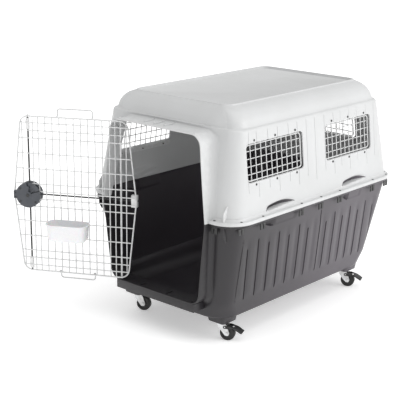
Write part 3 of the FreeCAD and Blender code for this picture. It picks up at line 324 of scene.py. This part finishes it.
def dress_cad_nodes():
    """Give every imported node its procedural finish."""
    for row in frame["record"]["subparts"]:
        node = frame["nodes"][row["node"]]
        node.data.materials.clear()
        node.data.materials.append(NODE_FINISHES.get(row["node"], FINISHES[row["material_slot"]]))
        smooth(node.data)


dress_cad_nodes()


# ---------------------------------------------------------------- camera, light and floor

CAMERA_AZIMUTH, CAMERA_ELEVATION, CAMERA_ROLL = 41.6, 16.0, 0.65
CAMERA_DISTANCE = 3935.0
CAMERA_TARGET = (-249.5, 40.4, 300.0)
CAMERA_LENS = 96.5


def placed(x, y, z):
    """A point given in millimetres about the body's middle, in the row frame."""
    return Vector((x * MM, y * MM, z * MM)) + CENTRE


def look_from(azimuth, elevation, roll):
    """Axes of a camera: its right, its up, and back towards it from the target."""
    a, e, r = (math.radians(v) for v in (azimuth, elevation, roll))
    back = Vector((math.sin(a) * math.cos(e), -math.cos(a) * math.cos(e), math.sin(e)))
    right = (-back).cross(Vector((0.0, 0.0, 1.0))).normalized()
    up = right.cross(-back)
    return right * math.cos(r) + up * math.sin(r), up * math.cos(r) - right * math.sin(r), back


def make_camera():
    data = bpy.data.cameras.new("camera")
    data.lens = CAMERA_LENS
    data.sensor_width = 36.0
    data.clip_end = 100.0
    camera = bpy.data.objects.new("camera", data)
    bpy.context.scene.collection.objects.link(camera)
    right, up, back = look_from(CAMERA_AZIMUTH, CAMERA_ELEVATION, CAMERA_ROLL)
    axes = Matrix((right, up, back)).transposed().to_4x4()
    camera.matrix_world = Matrix.Translation(placed(*CAMERA_TARGET) + back * CAMERA_DISTANCE * MM) @ axes
    bpy.context.scene.camera = camera


def make_lamp(name, azimuth, elevation, spread, strength):
    """A soft lamp that covers a wide patch of the studio's ceiling or wall; angles are in degrees."""
    data = bpy.data.lights.new(name, "SUN")
    data.energy = strength
    data.angle = math.radians(spread)
    lamp = bpy.data.objects.new(name, data)
    bpy.context.scene.collection.objects.link(lamp)
    right, up, back = look_from(azimuth, elevation, 0.0)
    lamp.matrix_world = Matrix((right, up, back)).transposed().to_4x4()


def make_studio():
    """A pale floor in an even white surround, lit a little more from above and from the right."""
    world = bpy.data.worlds.new("surround")
    world.use_nodes = True
    world.node_tree.nodes["Background"].inputs["Color"].default_value = (1.0, 1.0, 1.0, 1.0)
    world.node_tree.nodes["Background"].inputs["Strength"].default_value = 0.62
    bpy.context.scene.world = world
    bpy.context.scene.view_settings.view_transform = "Standard"
    make_lamp("top", azimuth=30.0, elevation=78.0, spread=60.0, strength=0.9)
    make_lamp("key", azimuth=112.0, elevation=20.0, spread=50.0, strength=1.5)
    half = 40.0
    floor_mesh = bpy.data.meshes.new("floor")
    floor_mesh.from_pydata([(-half, -half, 0.0), (half, -half, 0.0), (half, half, 0.0), (-half, half, 0.0)],
                           [], [(0, 1, 2, 3)])
    floor = bpy.data.objects.new("floor", floor_mesh)
    bpy.context.scene.collection.objects.link(floor)
    paper = Nodes("floor_paper")
    speck = paper.noise(400.0, 3.0)
    paper.relief(speck, 0.05, 0.0005)
    tone = paper.mix(speck, grey(0.95), grey(0.97))
    floor_mesh.materials.append(paper.finish(tone, 0.9, Emission_Color=grey(1.0), Emission_Strength=0.35))


# ---------------------------------------------------------------- mesh tools

def add_piece(name, mesh, body, slot_name, material, *replaced):
    """A finished mesh, drawn in millimetres about the body's middle, set down on its body."""
    mesh.transform(Matrix.Translation(CENTRE) @ Matrix.Scale(MM, 4))
    mesh.materials.clear()
    mesh.materials.append(material)
    smooth(mesh)
    piece = bpy.data.objects.new(name, mesh)
    bpy.context.scene.collection.objects.link(piece)
    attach(piece, body)
    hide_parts(*replaced)


def grid(rows, up=False, ends=False):
    """A mesh through closed rows of points; up joins the last row to the first, and ends fills both."""
    count = len(rows[0])
    points = [tuple(point) for row in rows for point in row]
    faces = []
    for i in range(len(rows) if up else len(rows) - 1):
        low = i * count
        high = ((i + 1) % len(rows)) * count
        for j in range(count):
            k = (j + 1) % count
            faces.append((low + j, low + k, high + k, high + j))
    if ends:
        faces.append(tuple(reversed(range(count))))
        faces.append(tuple(range(len(points) - count, len(points))))
    mesh = bpy.data.meshes.new("grid")
    mesh.from_pydata(points, [], faces)
    mesh.validate()
    outward(mesh)
    return mesh


def outward(mesh):
    """Turn every face's normal outward."""
    work = bmesh.new()
    work.from_mesh(mesh)
    bmesh.ops.recalc_face_normals(work, faces=work.faces)
    work.to_mesh(mesh)
    work.free()


def block(x0, x1, y0, y1, z0, z1, bevel):
    """A block with rounded edges."""
    work = bmesh.new()
    bmesh.ops.create_cube(work, size=1.0)
    bmesh.ops.scale(work, vec=(x1 - x0, y1 - y0, z1 - z0), verts=work.verts)
    bmesh.ops.translate(work, vec=((x0 + x1) / 2.0, (y0 + y1) / 2.0, (z0 + z1) / 2.0), verts=work.verts)
    bmesh.ops.bevel(work, geom=work.edges[:], offset=bevel, segments=2, profile=0.5, affect="EDGES")
    mesh = bpy.data.meshes.new("block")
    work.to_mesh(mesh)
    work.free()
    return mesh


def prism(outline, low, high, axis):
    """A closed bar with a flat outline, which runs from low to high along x or y."""
    rows = []
    for level in (low, high):
        if axis == "y":
            rows.append([(a, level, b) for a, b in outline])
        else:
            rows.append([(level, a, b) for a, b in outline])
    return grid(rows, ends=True)


def joined(meshes):
    """Several meshes as one."""
    work = bmesh.new()
    for mesh in meshes:
        work.from_mesh(mesh)
        bpy.data.meshes.remove(mesh)
    whole = bpy.data.meshes.new("joined")
    work.to_mesh(whole)
    work.free()
    return whole


def carved(mesh, cutters):
    """A mesh less the cutters."""
    body = bpy.data.objects.new("carved", mesh)
    bpy.context.scene.collection.objects.link(body)
    tools = []
    for cutter in cutters:
        tool = bpy.data.objects.new("cutter", cutter)
        bpy.context.scene.collection.objects.link(tool)
        cut = body.modifiers.new("cut", "BOOLEAN")
        cut.operation = "DIFFERENCE"
        cut.solver = "EXACT"
        cut.object = tool
        tools.append(tool)
    graph = bpy.context.evaluated_depsgraph_get()
    result = bpy.data.meshes.new_from_object(body.evaluated_get(graph))
    for spent in tools + [body]:
        bpy.data.objects.remove(spent)
    return result


def eased(value, low, high):
    """0 below low, 1 above high, and a smooth climb between them."""
    share = min(max((value - low) / (high - low), 0.0), 1.0)
    return share * share * (3.0 - 2.0 * share)


def fillet(corners, radii, steps=8):
    """A closed flat outline whose corners are rounded, as (a, b) points."""
    points = []
    count = len(corners)
    for i, corner in enumerate(corners):
        here = Vector(corner)
        back = (Vector(corners[i - 1]) - here).normalized()
        ahead = (Vector(corners[(i + 1) % count]) - here).normalized()
        half = back.angle(ahead) / 2.0
        centre = here + (back + ahead).normalized() * radii[i] / math.sin(half)
        start = here + back * radii[i] / math.tan(half) - centre
        end = here + ahead * radii[i] / math.tan(half) - centre
        turn = start.angle(end)
        for k in range(steps + 1):
            share = k / steps
            weight = math.sin((1.0 - share) * turn) / math.sin(turn)
            other = math.sin(share * turn) / math.sin(turn)
            points.append(tuple(centre + start * weight + end * other))
    return points


def rounded_window(length, height, corner):
    half_a, half_b = length / 2.0, height / 2.0
    return fillet([(half_a, -half_b), (half_a, half_b), (-half_a, half_b), (-half_a, -half_b)],
                  [corner] * 4, 6)


# ---------------------------------------------------------------- walls of the two shells

def wall_half(z):
    """Half width and half length of the wall's outer face at a height."""
    if z < RIM_Z:
        share = (z - WALL_FOOT_Z) / (RIM_Z - WALL_FOOT_Z)
        return (BASE_HALF_X + share * (WALL_HALF_X - BASE_HALF_X),
                BASE_HALF_Y + share * (WALL_HALF_Y - BASE_HALF_Y))
    share = (z - RIM_Z) / (WALL_TOP_Z - RIM_Z)
    return (WALL_HALF_X + share * (BELT_HALF_X - WALL_HALF_X),
            WALL_HALF_Y + share * (BELT_HALF_Y - WALL_HALF_Y))


def stations(half_count):
    """Even shares of a wall's straight run, from -1 to 1."""
    return [i / half_count for i in range(-half_count, half_count + 1)]


SIDE_STATIONS = stations(60)
END_STATIONS = stations(24)
CORNER_STEPS = 14


def ring(half_x, half_y, radius, z, push=None, relief_z=None):
    """Points round a rounded rectangle; push(wall, along, relief_z) moves them outward."""
    points = []

    def corner(sx, sy, start):
        centre = Vector((sx * (half_x - radius), sy * (half_y - radius)))
        for k in range(CORNER_STEPS + 1):
            angle = math.radians(start + 90.0 * k / CORNER_STEPS)
            points.append((centre.x + radius * math.cos(angle), centre.y + radius * math.sin(angle), z))

    def out(wall, along):
        return push(wall, along, relief_z or z) if push else 0.0

    side_y = [share * (half_y - radius - 0.5) for share in SIDE_STATIONS]
    end_x = [share * (half_x - radius - 0.5) for share in END_STATIONS]
    points += [(half_x + out("right", y), y, z) for y in side_y]
    corner(1, 1, 0.0)
    points += [(x, half_y + out("rear", x), z) for x in reversed(end_x)]
    corner(-1, 1, 90.0)
    points += [(-half_x - out("left", y), y, z) for y in reversed(side_y)]
    corner(-1, -1, 180.0)
    points += [(x, -half_y - out("front", x), z) for x in end_x]
    corner(1, -1, 270.0)
    return points


def panel_tilt(offset, pitch, height):
    """Each panel between two lines leans out a little towards its rear edge."""
    share = (offset % pitch) / pitch
    return height * (eased(share, 0.0, 0.25) - eased(share, 0.55, 1.0))


def grip_lip(share):
    """Height of a hand grip's lower edge along its length."""
    return GRIP_LIP_Z + GRIP_LIP_RISE * math.sin(0.75 * math.pi * share)


def upper_push(wall, along, z):
    """Relief of the white wall: pleats under the belt, hand grips and the arched band over the door."""
    if wall == "front":
        fade = 1.0 - eased(abs(along), 180.0, 232.0)
        crest = BAND_CREST_Z - BAND_DROP * ((along - BAND_CREST_X) / 250.0) ** 2
        flush = BAND_FLUSH * eased(z, 698.0, 708.0) * (1.0 - eased(z, BAND_CREST_Z, RELIEF_TOP_Z))
        return fade * (BAND_RIDGE * math.exp(-((z - crest + 8.0) / 8.0) ** 2) + flush)
    places = PLEATS_X if wall == "rear" else PLEATS_Y
    strength = eased(z, 490.0, 560.0) * (1.0 - eased(z, 690.0, 700.0))
    push = strength * panel_tilt(along - places[0], PLEAT_PITCH, PLEAT_LEAN)
    if wall != "rear":
        for start, length in GRIPS:
            share = (along - start) / length
            if 0.0 < share < 1.0:
                depth = GRIP_DEPTH * eased(share, 0.0, 0.16) * (1.0 - eased(share, 0.3, 1.0))
                lip = grip_lip(share)
                if z > lip:
                    push -= depth * (1.0 - eased(z, lip + 3.0, lip + 19.0))
                else:
                    push += GRIP_BULGE * math.sin(math.pi * share) * eased(z, 424.0, 436.0)
    return push


def lower_push(wall, along, z):
    """Relief of the dark wall: panels between the grooves and the pockets under the rim."""
    if wall == "front":
        return 0.0
    strength = eased(z, 136.0, 170.0) * (1.0 - eased(z, 320.0, 372.0))
    slanted = along + GROOVE_SLANT * (z - GROOVE_BOTTOM_Z)
    push = strength * panel_tilt(slanted - GROOVES_Y[0], PANEL_PITCH, PANEL_LEAN)
    if wall != "rear":
        for start, length in POCKETS:
            share = (along - start) / length
            if 0.0 < share < 1.0:
                bottom = POCKET_LOW_Z - POCKET_DIP * eased(share, 0.0, 0.35)
                wedge = eased(share, 0.02, 0.12) - eased(share, 0.28, 0.42)
                push -= (POCKET_DEPTH * wedge + POCKET_OUTLINE_DEPTH) * eased(z, bottom, bottom + 3.0)
    return push


def line_cutter(low, high, normal, half_width, depth):
    """A long wedge with tapered ends, for a groove along a wall from one point to another."""
    low, high, normal = Vector(low), Vector(high), Vector(normal).normalized()
    along = (high - low).normalized()
    side = along.cross(normal)
    rows = []
    for spot, scale in ((low, 0.12), (low + along * 5.0, 1.0), (high - along * 4.0, 1.0), (high, 0.12)):
        rows.append([tuple(spot + normal * 3.0 + side * half_width * 1.3 * scale),
                     tuple(spot - normal * depth * scale + side * half_width * 0.35 * scale),
                     tuple(spot - normal * depth * scale - side * half_width * 0.35 * scale),
                     tuple(spot + normal * 3.0 - side * half_width * 1.3 * scale)])
    return grid(rows, ends=True)


def grip_shadow_crescents():
    """Dark crescents in the hand grips, which stand in for the shadow inside them."""
    painted_shadows = []
    for start, length in GRIPS:
        for side in (-1, 1):
            rows = []
            for k in range(17):
                share = 0.02 + 0.9 * k / 16
                y = start + share * length
                low = grip_lip(share) + 0.3
                high = low + 0.8 + 13.0 * math.sin(math.pi * (k / 16) ** 0.75) ** 0.8
                heights = [low + (high - low) * i / 4 for i in range(5)]
                face = [(side * (wall_half(z)[0] + upper_push("side", y, z) + SHADOW_CRESCENT_PROUD), y, z)
                        for z in heights]
                rows.append(face + [(x - side * SHADOW_CRESCENT_T, y, z) for x, y, z in reversed(face)])
            painted_shadows.append(grid(rows, ends=True))
    return painted_shadows


def groove_cutters():
    """The grooves of the dark walls: slanted on the sides, upright at the rear."""
    cutters = []
    low = GROOVE_BOTTOM_Z
    for i, y in enumerate(GROOVES_Y):
        top = GROOVE_CENTRE_TOP_Z if i == len(GROOVES_Y) // 2 else GROOVE_TOPS_Z[(i + 1) % 2]
        for side in (-1, 1):
            cutters.append(line_cutter((side * wall_half(low)[0], y, low),
                                       (side * wall_half(top)[0], y - GROOVE_SLANT * (top - low), top),
                                       (side, 0.0, -0.2), GROOVE_HALF_W, GROOVE_DEPTH))
    for i, x in enumerate(PLEATS_X):
        top = GROOVE_TOPS_Z[i % 2]
        cutters.append(line_cutter((x, wall_half(low)[1], low), (x, wall_half(top)[1], top),
                                   (0.0, 1.0, -0.1), GROOVE_HALF_W, GROOVE_DEPTH))
    return cutters


def pleat_cutters():
    """The fine lines of the white walls."""
    cutters = []
    high = BELT_Z - 8.0
    for i, y in enumerate(PLEATS_Y):
        low = PLEAT_FEET_Z[i % 2]
        for side in (-1, 1):
            cutters.append(line_cutter((side * wall_half(low)[0], y, low),
                                       (side * wall_half(high)[0], y, high), (side, 0.0, 0.1),
                                       PLEAT_HALF_W, PLEAT_DEPTH))
    for i, x in enumerate(PLEATS_X):
        low = PLEAT_FEET_Z[i % 2]
        cutters.append(line_cutter((x, wall_half(low)[1], low), (x, wall_half(high)[1], high),
                                   (0.0, 1.0, 0.1), PLEAT_HALF_W, PLEAT_DEPTH))
    return cutters


def levels(marks, steps):
    """Heights from the first mark to the last, evenly between marks, with a step for each span."""
    heights = []
    for low, high, step in zip(marks, marks[1:], steps):
        count = max(1, round((high - low) / step))
        heights += [low + (high - low) * i / count for i in range(count)]
    return heights + [marks[-1]]


def cap_sections():
    """The belt's step and the domed border of the roof: side and end insets, height and corner radius."""
    edge_x = BELT_HALF_X - TRAY_HALF_X - 6.0
    edge_y = BELT_HALF_Y - TRAY_HALF_Y - 6.0
    tray = ROOF_Z - TRAY_DEPTH
    step = BELT_STEP
    return [(2.0, 2.0, BELT_Z - 2.5, 46.0), (4.5, 4.5, BELT_Z - 0.5, 46.0),
            (step - 2.0, step - 2.0, BELT_Z + 0.5, 45.0), (step, step, BELT_Z + 3.0, 44.0),
            (step + 1.5, step + 1.0, 712.0, 44.0), (step + 4.5, step + 3.0, 721.0, 43.0),
            (step + 9.0, step + 5.5, 730.0, 42.0), (step + 16.0, step + 9.0, 739.0, 41.0),
            (step + 25.0, step + 13.0, 747.5, 40.0), (step + 36.0, step + 17.5, 754.5, 38.0),
            (step + 46.0, step + 22.0, 758.8, 37.0), (step + 55.0, step + 26.5, 762.0, 36.0),
            (edge_x - 5.0, edge_y - 4.5, 763.4, 34.0), (edge_x - 2.0, edge_y - 2.0, 764.4, 33.0),
            (edge_x - 0.6, edge_y - 0.6, ROOF_Z - 0.8, 32.0), (edge_x + 1.0, edge_y + 1.0, ROOF_Z, 31.0),
            (edge_x + 5.0, edge_y + 5.0, ROOF_Z, 28.0), (edge_x + 6.6, edge_y + 6.6, ROOF_Z - 0.8, 27.5),
            (edge_x + 7.6, edge_y + 7.6, tray + 0.8, 27.0), (edge_x + 9.6, edge_y + 9.6, tray, 26.0)]


def upper_rows(inset):
    """Rows from the rim to the middle of the roof, moved in and, from half way up, down by an inset."""
    rows = []
    for z in levels([RIM_Z, 434.0, 464.0, WALL_TOP_Z], [3.0, 1.5, 9.0]):
        half_x, half_y = wall_half(z)
        share = (z - RIM_Z) / (BELT_Z - RIM_Z)
        radius = WALL_CORNER + share * (BELT_CORNER - WALL_CORNER)
        drop = inset if z > WINDOW_Z else 0.0
        rows.append(ring(half_x - inset, half_y - inset, radius - inset, z - drop, upper_push, z))
    for side, end, z, radius in cap_sections():
        push = upper_push if z < RELIEF_TOP_Z else None
        rows.append(ring(BELT_HALF_X - side - inset, BELT_HALF_Y - end - inset, radius - inset, z - inset,
                         push, z))
    return rows


def shell_solid(outer_rows, inner_rows):
    """A closed shell between an outer and an inner stack of rows that share their first edge."""
    rows = list(reversed(inner_rows)) + outer_rows
    return grid(rows, ends=True)


def window_cutters():
    """Rounded bars through the side walls and the rear wall."""
    bars = []
    for centre, length in SIDE_WINDOWS:
        outline = [(a + centre, b + WINDOW_Z) for a, b in
                   rounded_window(length, WINDOW_HEIGHT, WINDOW_CORNER)]
        bars.append(prism(outline, SIDE_CUT_X[0], SIDE_CUT_X[1], "x"))
        bars.append(prism(outline, -SIDE_CUT_X[1], -SIDE_CUT_X[0], "x"))
    outline = [(a, b + WINDOW_Z) for a, b in
               rounded_window(REAR_WINDOW_LENGTH, WINDOW_HEIGHT, WINDOW_CORNER)]
    bars.append(prism(outline, REAR_CUT_Y[0], REAR_CUT_Y[1], "y"))
    return bars


def portal_outline(grow, steps=10):
    """The six-sided door opening in x and z."""
    top, bottom = PORTAL_MID_Z + PORTAL_HALF_Z + grow, PORTAL_MID_Z - PORTAL_HALF_Z - grow
    half_top, half_mid = PORTAL_HALF_TOP + grow, PORTAL_HALF_MID + grow
    corners = [(half_mid, PORTAL_MID_Z), (half_top, top), (-half_top, top), (-half_mid, PORTAL_MID_Z),
               (-half_top, bottom), (half_top, bottom)]
    tight, wide = PORTAL_CORNER + grow, PORTAL_MID_CORNER + grow
    return fillet(corners, [wide, tight, tight, wide, tight, tight], steps)


def portal_front(z):
    """The bowed front edge of the portal."""
    reach = PORTAL_MID_Z - SILL_BOTTOM_Z
    return PORTAL_FRONT_Y - PORTAL_BULGE * (1.0 - ((z - PORTAL_MID_Z) / reach) ** 2)


def portal_chain(upper):
    """The opening's centre-line points with their outward directions, for one shell, end to end."""
    points = [Vector(p) for p in portal_outline(0.0, 12)]
    dense = []
    for i, point in enumerate(points):
        following = points[(i + 1) % len(points)]
        pieces = max(1, int((following - point).length / 12.0))
        dense += [point.lerp(following, k / pieces) for k in range(pieces)]
    keep = [p for p in dense if (p.y > RIM_Z) == upper and abs(p.y - RIM_Z) > 0.5]
    keep.sort(key=lambda p: math.atan2(abs(p.y - RIM_Z), p.x))
    keep = [Vector((keep[0].x, RIM_Z))] + keep + [Vector((keep[-1].x, RIM_Z))]
    chain = []
    for i, point in enumerate(keep):
        before, after = keep[max(i - 1, 0)], keep[min(i + 1, len(keep) - 1)]
        along = (after - before).normalized()
        out = Vector((along.y, -along.x))
        if out.dot(point - Vector((0.0, PORTAL_MID_Z))) < 0.0:
            out = -out
        chain.append((point, out))
    return chain


def front_wall_y(x, z):
    """The front wall's outer face, which bends back round the corners."""
    half_x, half_y = wall_half(min(max(z, WALL_FOOT_Z), WALL_TOP_Z))
    radius = WALL_CORNER if z > 300.0 else BASE_CORNER
    over = abs(x) - (half_x - radius)
    if over <= 0.0:
        return -half_y
    return -(half_y - radius + math.sqrt(max(radius ** 2 - over ** 2, 0.0)))


def pin(radius, start, end):
    """A round bar between two points."""
    start, end = Vector(start), Vector(end)
    side = (end - start).orthogonal().normalized()
    up = (end - start).normalized().cross(side)
    turns = [2.0 * math.pi * k / HOLE_SIDES for k in range(HOLE_SIDES)]
    return grid([[tuple(spot + (side * math.cos(a) + up * math.sin(a)) * radius) for a in turns]
                 for spot in (start, end)], ends=True)


def door_pins():
    """Cutters for the holes that take the hinge rod and the three latch rods."""
    top, bottom = PORTAL_MID_Z + PORTAL_HALF_Z, PORTAL_MID_Z - PORTAL_HALF_Z
    pins = []
    for x, radius in ((-DOOR_PIN_X, HINGE_HOLE_R), (DOOR_PIN_X, LATCH_HOLE_R)):
        pins.append(pin(radius, (x, DOOR_PIN_Y, top - 3.0), (x, DOOR_PIN_Y, top + 20.0)))
        pins.append(pin(radius, (x, DOOR_PIN_Y, bottom - 20.0), (x, DOOR_PIN_Y, bottom + 3.0)))
    pins.append(pin(SIDE_HOLE_R, (-PORTAL_HALF_MID - 12.0, SIDE_PIN_Y, PORTAL_MID_Z),
                    (-PORTAL_HALF_MID + 8.0, SIDE_PIN_Y, PORTAL_MID_Z)))
    return joined(pins)


def portal_tube(upper):
    """The portal's wall with a rounded front edge, and the cove where it meets the front wall."""
    chain = portal_chain(upper)
    lip = ((0.0, 1.6), (0.5, 0.5), (1.6, 0.0), (WALL - 1.6, 0.0), (WALL - 0.5, 0.5), (WALL, 1.6))
    tube = []
    cove = []
    for point, out in chain:
        spots = []
        for grow, back in lip:
            spot = point + out * grow
            spots.append((spot.x, portal_front(point.y) + back, spot.y))
        outer = point + out * WALL
        wall_y = front_wall_y(outer.x, outer.y)
        spots.append((outer.x, wall_y + 2.0, outer.y))
        spots.append((point.x, wall_y + 2.0, point.y))
        tube.append(spots)
        arc = []
        for k in range(9):
            angle = math.radians(90.0 * k / 8)
            spot = point + out * (WALL + PORTAL_COVE_R * (1.0 - math.cos(angle)))
            y = front_wall_y(spot.x, spot.y) - PORTAL_COVE_R * (1.0 - math.sin(angle))
            arc.append((spot.x, y - 0.1, spot.y))
        spot = point + out * (WALL - 1.0)
        arc.append((spot.x, front_wall_y(spot.x, spot.y) + 2.0, spot.y))
        cove.append(arc)
    return [carved(grid(rows, ends=True), [door_pins()]) for rows in (tube, cove)]


def rim_band(section):
    """A closed band round the walls, from distances beyond the wall and heights above the joint."""
    rows = []
    for grow_x, rise in section:
        share = grow_x / (RIM_HALF_X - WALL_HALF_X)
        half_y = WALL_HALF_Y + share * (RIM_HALF_Y - WALL_HALF_Y)
        radius = WALL_CORNER + share * (RIM_CORNER - WALL_CORNER)
        rows.append(ring(WALL_HALF_X + grow_x, half_y, radius, RIM_Z + rise))
    return grid(rows, up=True)


def doorway_cutter():
    """What the doorway takes out of the walls and rims."""
    return prism(portal_outline(1.0), DOORWAY_CUT_Y[0], DOORWAY_CUT_Y[1], "y")


def corner_gusset(sx, sy, low, high):
    """A thin upright fin on the rim near a corner: straight up, then back to the wall."""
    over = FIN_X - (WALL_HALF_X - WALL_CORNER)
    drop = WALL_CORNER - math.sqrt(WALL_CORNER ** 2 - over ** 2)
    rim_over = FIN_X - (RIM_HALF_X - RIM_CORNER)
    edge = RIM_HALF_Y - RIM_CORNER + math.sqrt(RIM_CORNER ** 2 - rim_over ** 2) - 5.0
    wide_y, narrow_y = wall_half(low)[1] - drop, wall_half(high)[1] - drop
    shoulder = low + 0.62 * (high - low)
    outline = [(sy * (wide_y - 2.0), low), (sy * edge, low), (sy * (edge - 1.0), shoulder),
               (sy * (narrow_y + 1.5), high), (sy * (narrow_y - 2.0), high)]
    return prism(outline, sx * FIN_X - FIN_T / 2.0, sx * FIN_X + FIN_T / 2.0, "x")


def make_upper_shell():
    """The white half: ribbed walls, belt, domed roof with its tray, rim, portal and visor."""
    wall = shell_solid(upper_rows(0.0), upper_rows(WALL))
    wall = carved(wall, [joined(pleat_cutters())] + window_cutters() + [doorway_cutter()])
    rim = carved(rim_band(UPPER_RIM), [doorway_cutter(), door_pins()])
    ledge = PORTAL_MID_Z + PORTAL_HALF_Z + WALL
    ribs = [block(x - 1.8, x + 1.8, PORTAL_FRONT_Y + 18.0, PORTAL_FRONT_Y + 68.0, ledge - 1.0,
                  ledge + 5.0, 1.2) for x in VISOR_RIBS_X]
    fins = [corner_gusset(sx, sy, RIM_Z + 10.0, FIN_HIGH_Z) for sx in (-1, 1) for sy in (-1, 1)]
    mesh = joined([wall, rim] + portal_tube(True) + ribs + fins)
    add_piece("upper_shell", mesh, "carrier", "white_plastic", WHITE, "top_shell")


def make_grip_shadow_crescents():
    """One visual piece of painted shadow: dark crescents inside the four hand grips."""
    add_piece("grip_shadow_crescents", joined(grip_shadow_crescents()), "carrier", "charcoal_plastic", CHARCOAL, "top_shell")


def lower_corner(z):
    """Corner radius of the dark wall, which is fuller towards the floor."""
    share = (z - BASE_Z) / (RIM_Z - BASE_Z)
    return BASE_CORNER + share * (WALL_CORNER - BASE_CORNER) + 26.0 * (1.0 - eased(z, BASE_Z, 150.0))


def lower_rows():
    """Rows of the outer face, from the underside up to the rim."""
    edge = BASE_EDGE
    bend = [(edge, 0.0), (edge * 0.5, 1.1), (edge * 0.15, edge * 0.5), (0.0, edge)]
    rows = []
    for back, up in bend:
        rows.append(ring(BASE_HALF_X - back, BASE_HALF_Y - back, lower_corner(BASE_Z + up), BASE_Z + up))
    for z in levels([BASE_Z + edge + 6.0, 136.0, 172.0, 320.0, 376.0, RIM_Z], [9.0, 5.0, 12.0, 6.0, 2.5]):
        half_x, half_y = wall_half(z)
        rows.append(ring(half_x, half_y, lower_corner(z), z, lower_push))
    return rows


def lower_inner_rows():
    """The inner face: straight walls down to a ledge, then a broad cove to the floor."""
    rows = []
    for z in levels([RIM_Z, 376.0, 160.0], [-3.0, -54.0]):
        half_x, half_y = wall_half(z)
        rows.append(ring(half_x - WALL, half_y - WALL, BASE_CORNER, z, lower_push if z > 376.0 else None))
    for side, z in ((1.0, 157.0), (5.0, 156.0), (7.0, 153.0)):
        half_x, half_y = wall_half(z)
        rows.append(ring(half_x - WALL - side, half_y - WALL - side, BASE_CORNER, z))
    half_x, half_y = wall_half(WALL_FOOT_Z)
    for k in range(1, 8):
        angle = math.radians(90.0 * k / 7)
        side = WALL + 3.0 + 50.0 * (1.0 - math.cos(angle))
        rows.append(ring(half_x - side, half_y - side, BASE_CORNER + 10.0, 148.0 - 54.0 * math.sin(angle)))
    return rows


def foot(sx, sy):
    """The tapered block that carries a caster."""
    rows = []
    for half, radius, z in FOOT_SECTIONS:
        corners = [(half, -half), (half, half), (-half, half), (-half, -half)]
        rows.append([(a + sx * CASTER_X, b + sy * CASTER_Y, z) for a, b in fillet(corners, [radius] * 4, 5)])
    return grid(rows, ends=True)


def make_lower_shell():
    """The dark half: grooved tub, lip, sill, the lower portal, caster feet and fins."""
    wall = shell_solid(list(reversed(lower_rows())), lower_inner_rows())
    wall = carved(wall, [joined(groove_cutters()), doorway_cutter()])
    lip = carved(rim_band(LOWER_RIM), [doorway_cutter(), door_pins()])
    sill_top = PORTAL_MID_Z - PORTAL_HALF_Z - WALL
    apron = block(-SILL_HALF_X, SILL_HALF_X, PORTAL_FRONT_Y, PORTAL_FRONT_Y + WALL, SILL_BOTTOM_Z,
                  sill_top + 1.5, 1.2)
    webs = [block(x - 1.5, x + 1.5, PORTAL_FRONT_Y + 1.0, PORTAL_FRONT_Y + 52.0, SILL_BOTTOM_Z + 1.0,
                  sill_top + 1.0, 0.5) for x in SILL_WEBS_X]
    treads = [block(x - 2.0, x + 2.0, PORTAL_FRONT_Y + 1.0, PORTAL_FRONT_Y + 34.0, sill_top + 2.0,
                    sill_top + WALL + 2.5, 0.8) for x in SILL_TREADS_X]
    feet = [foot(sx, sy) for sx in (-1, 1) for sy in (-1, 1)]
    fins = [corner_gusset(sx, sy, RIM_Z - 6.0, FIN_LOW_Z) for sx in (-1, 1) for sy in (-1, 1)]
    mesh = joined([wall, lip, apron] + portal_tube(False) + webs + treads + feet + fins)
    add_piece("lower_shell", mesh, "carrier", "charcoal_plastic", CHARCOAL, "bottom_shell")


make_upper_shell()
# Painted shadow: dark crescents put inside the hand grips.
make_grip_shadow_crescents()
make_lower_shell()

make_camera()
make_studio()
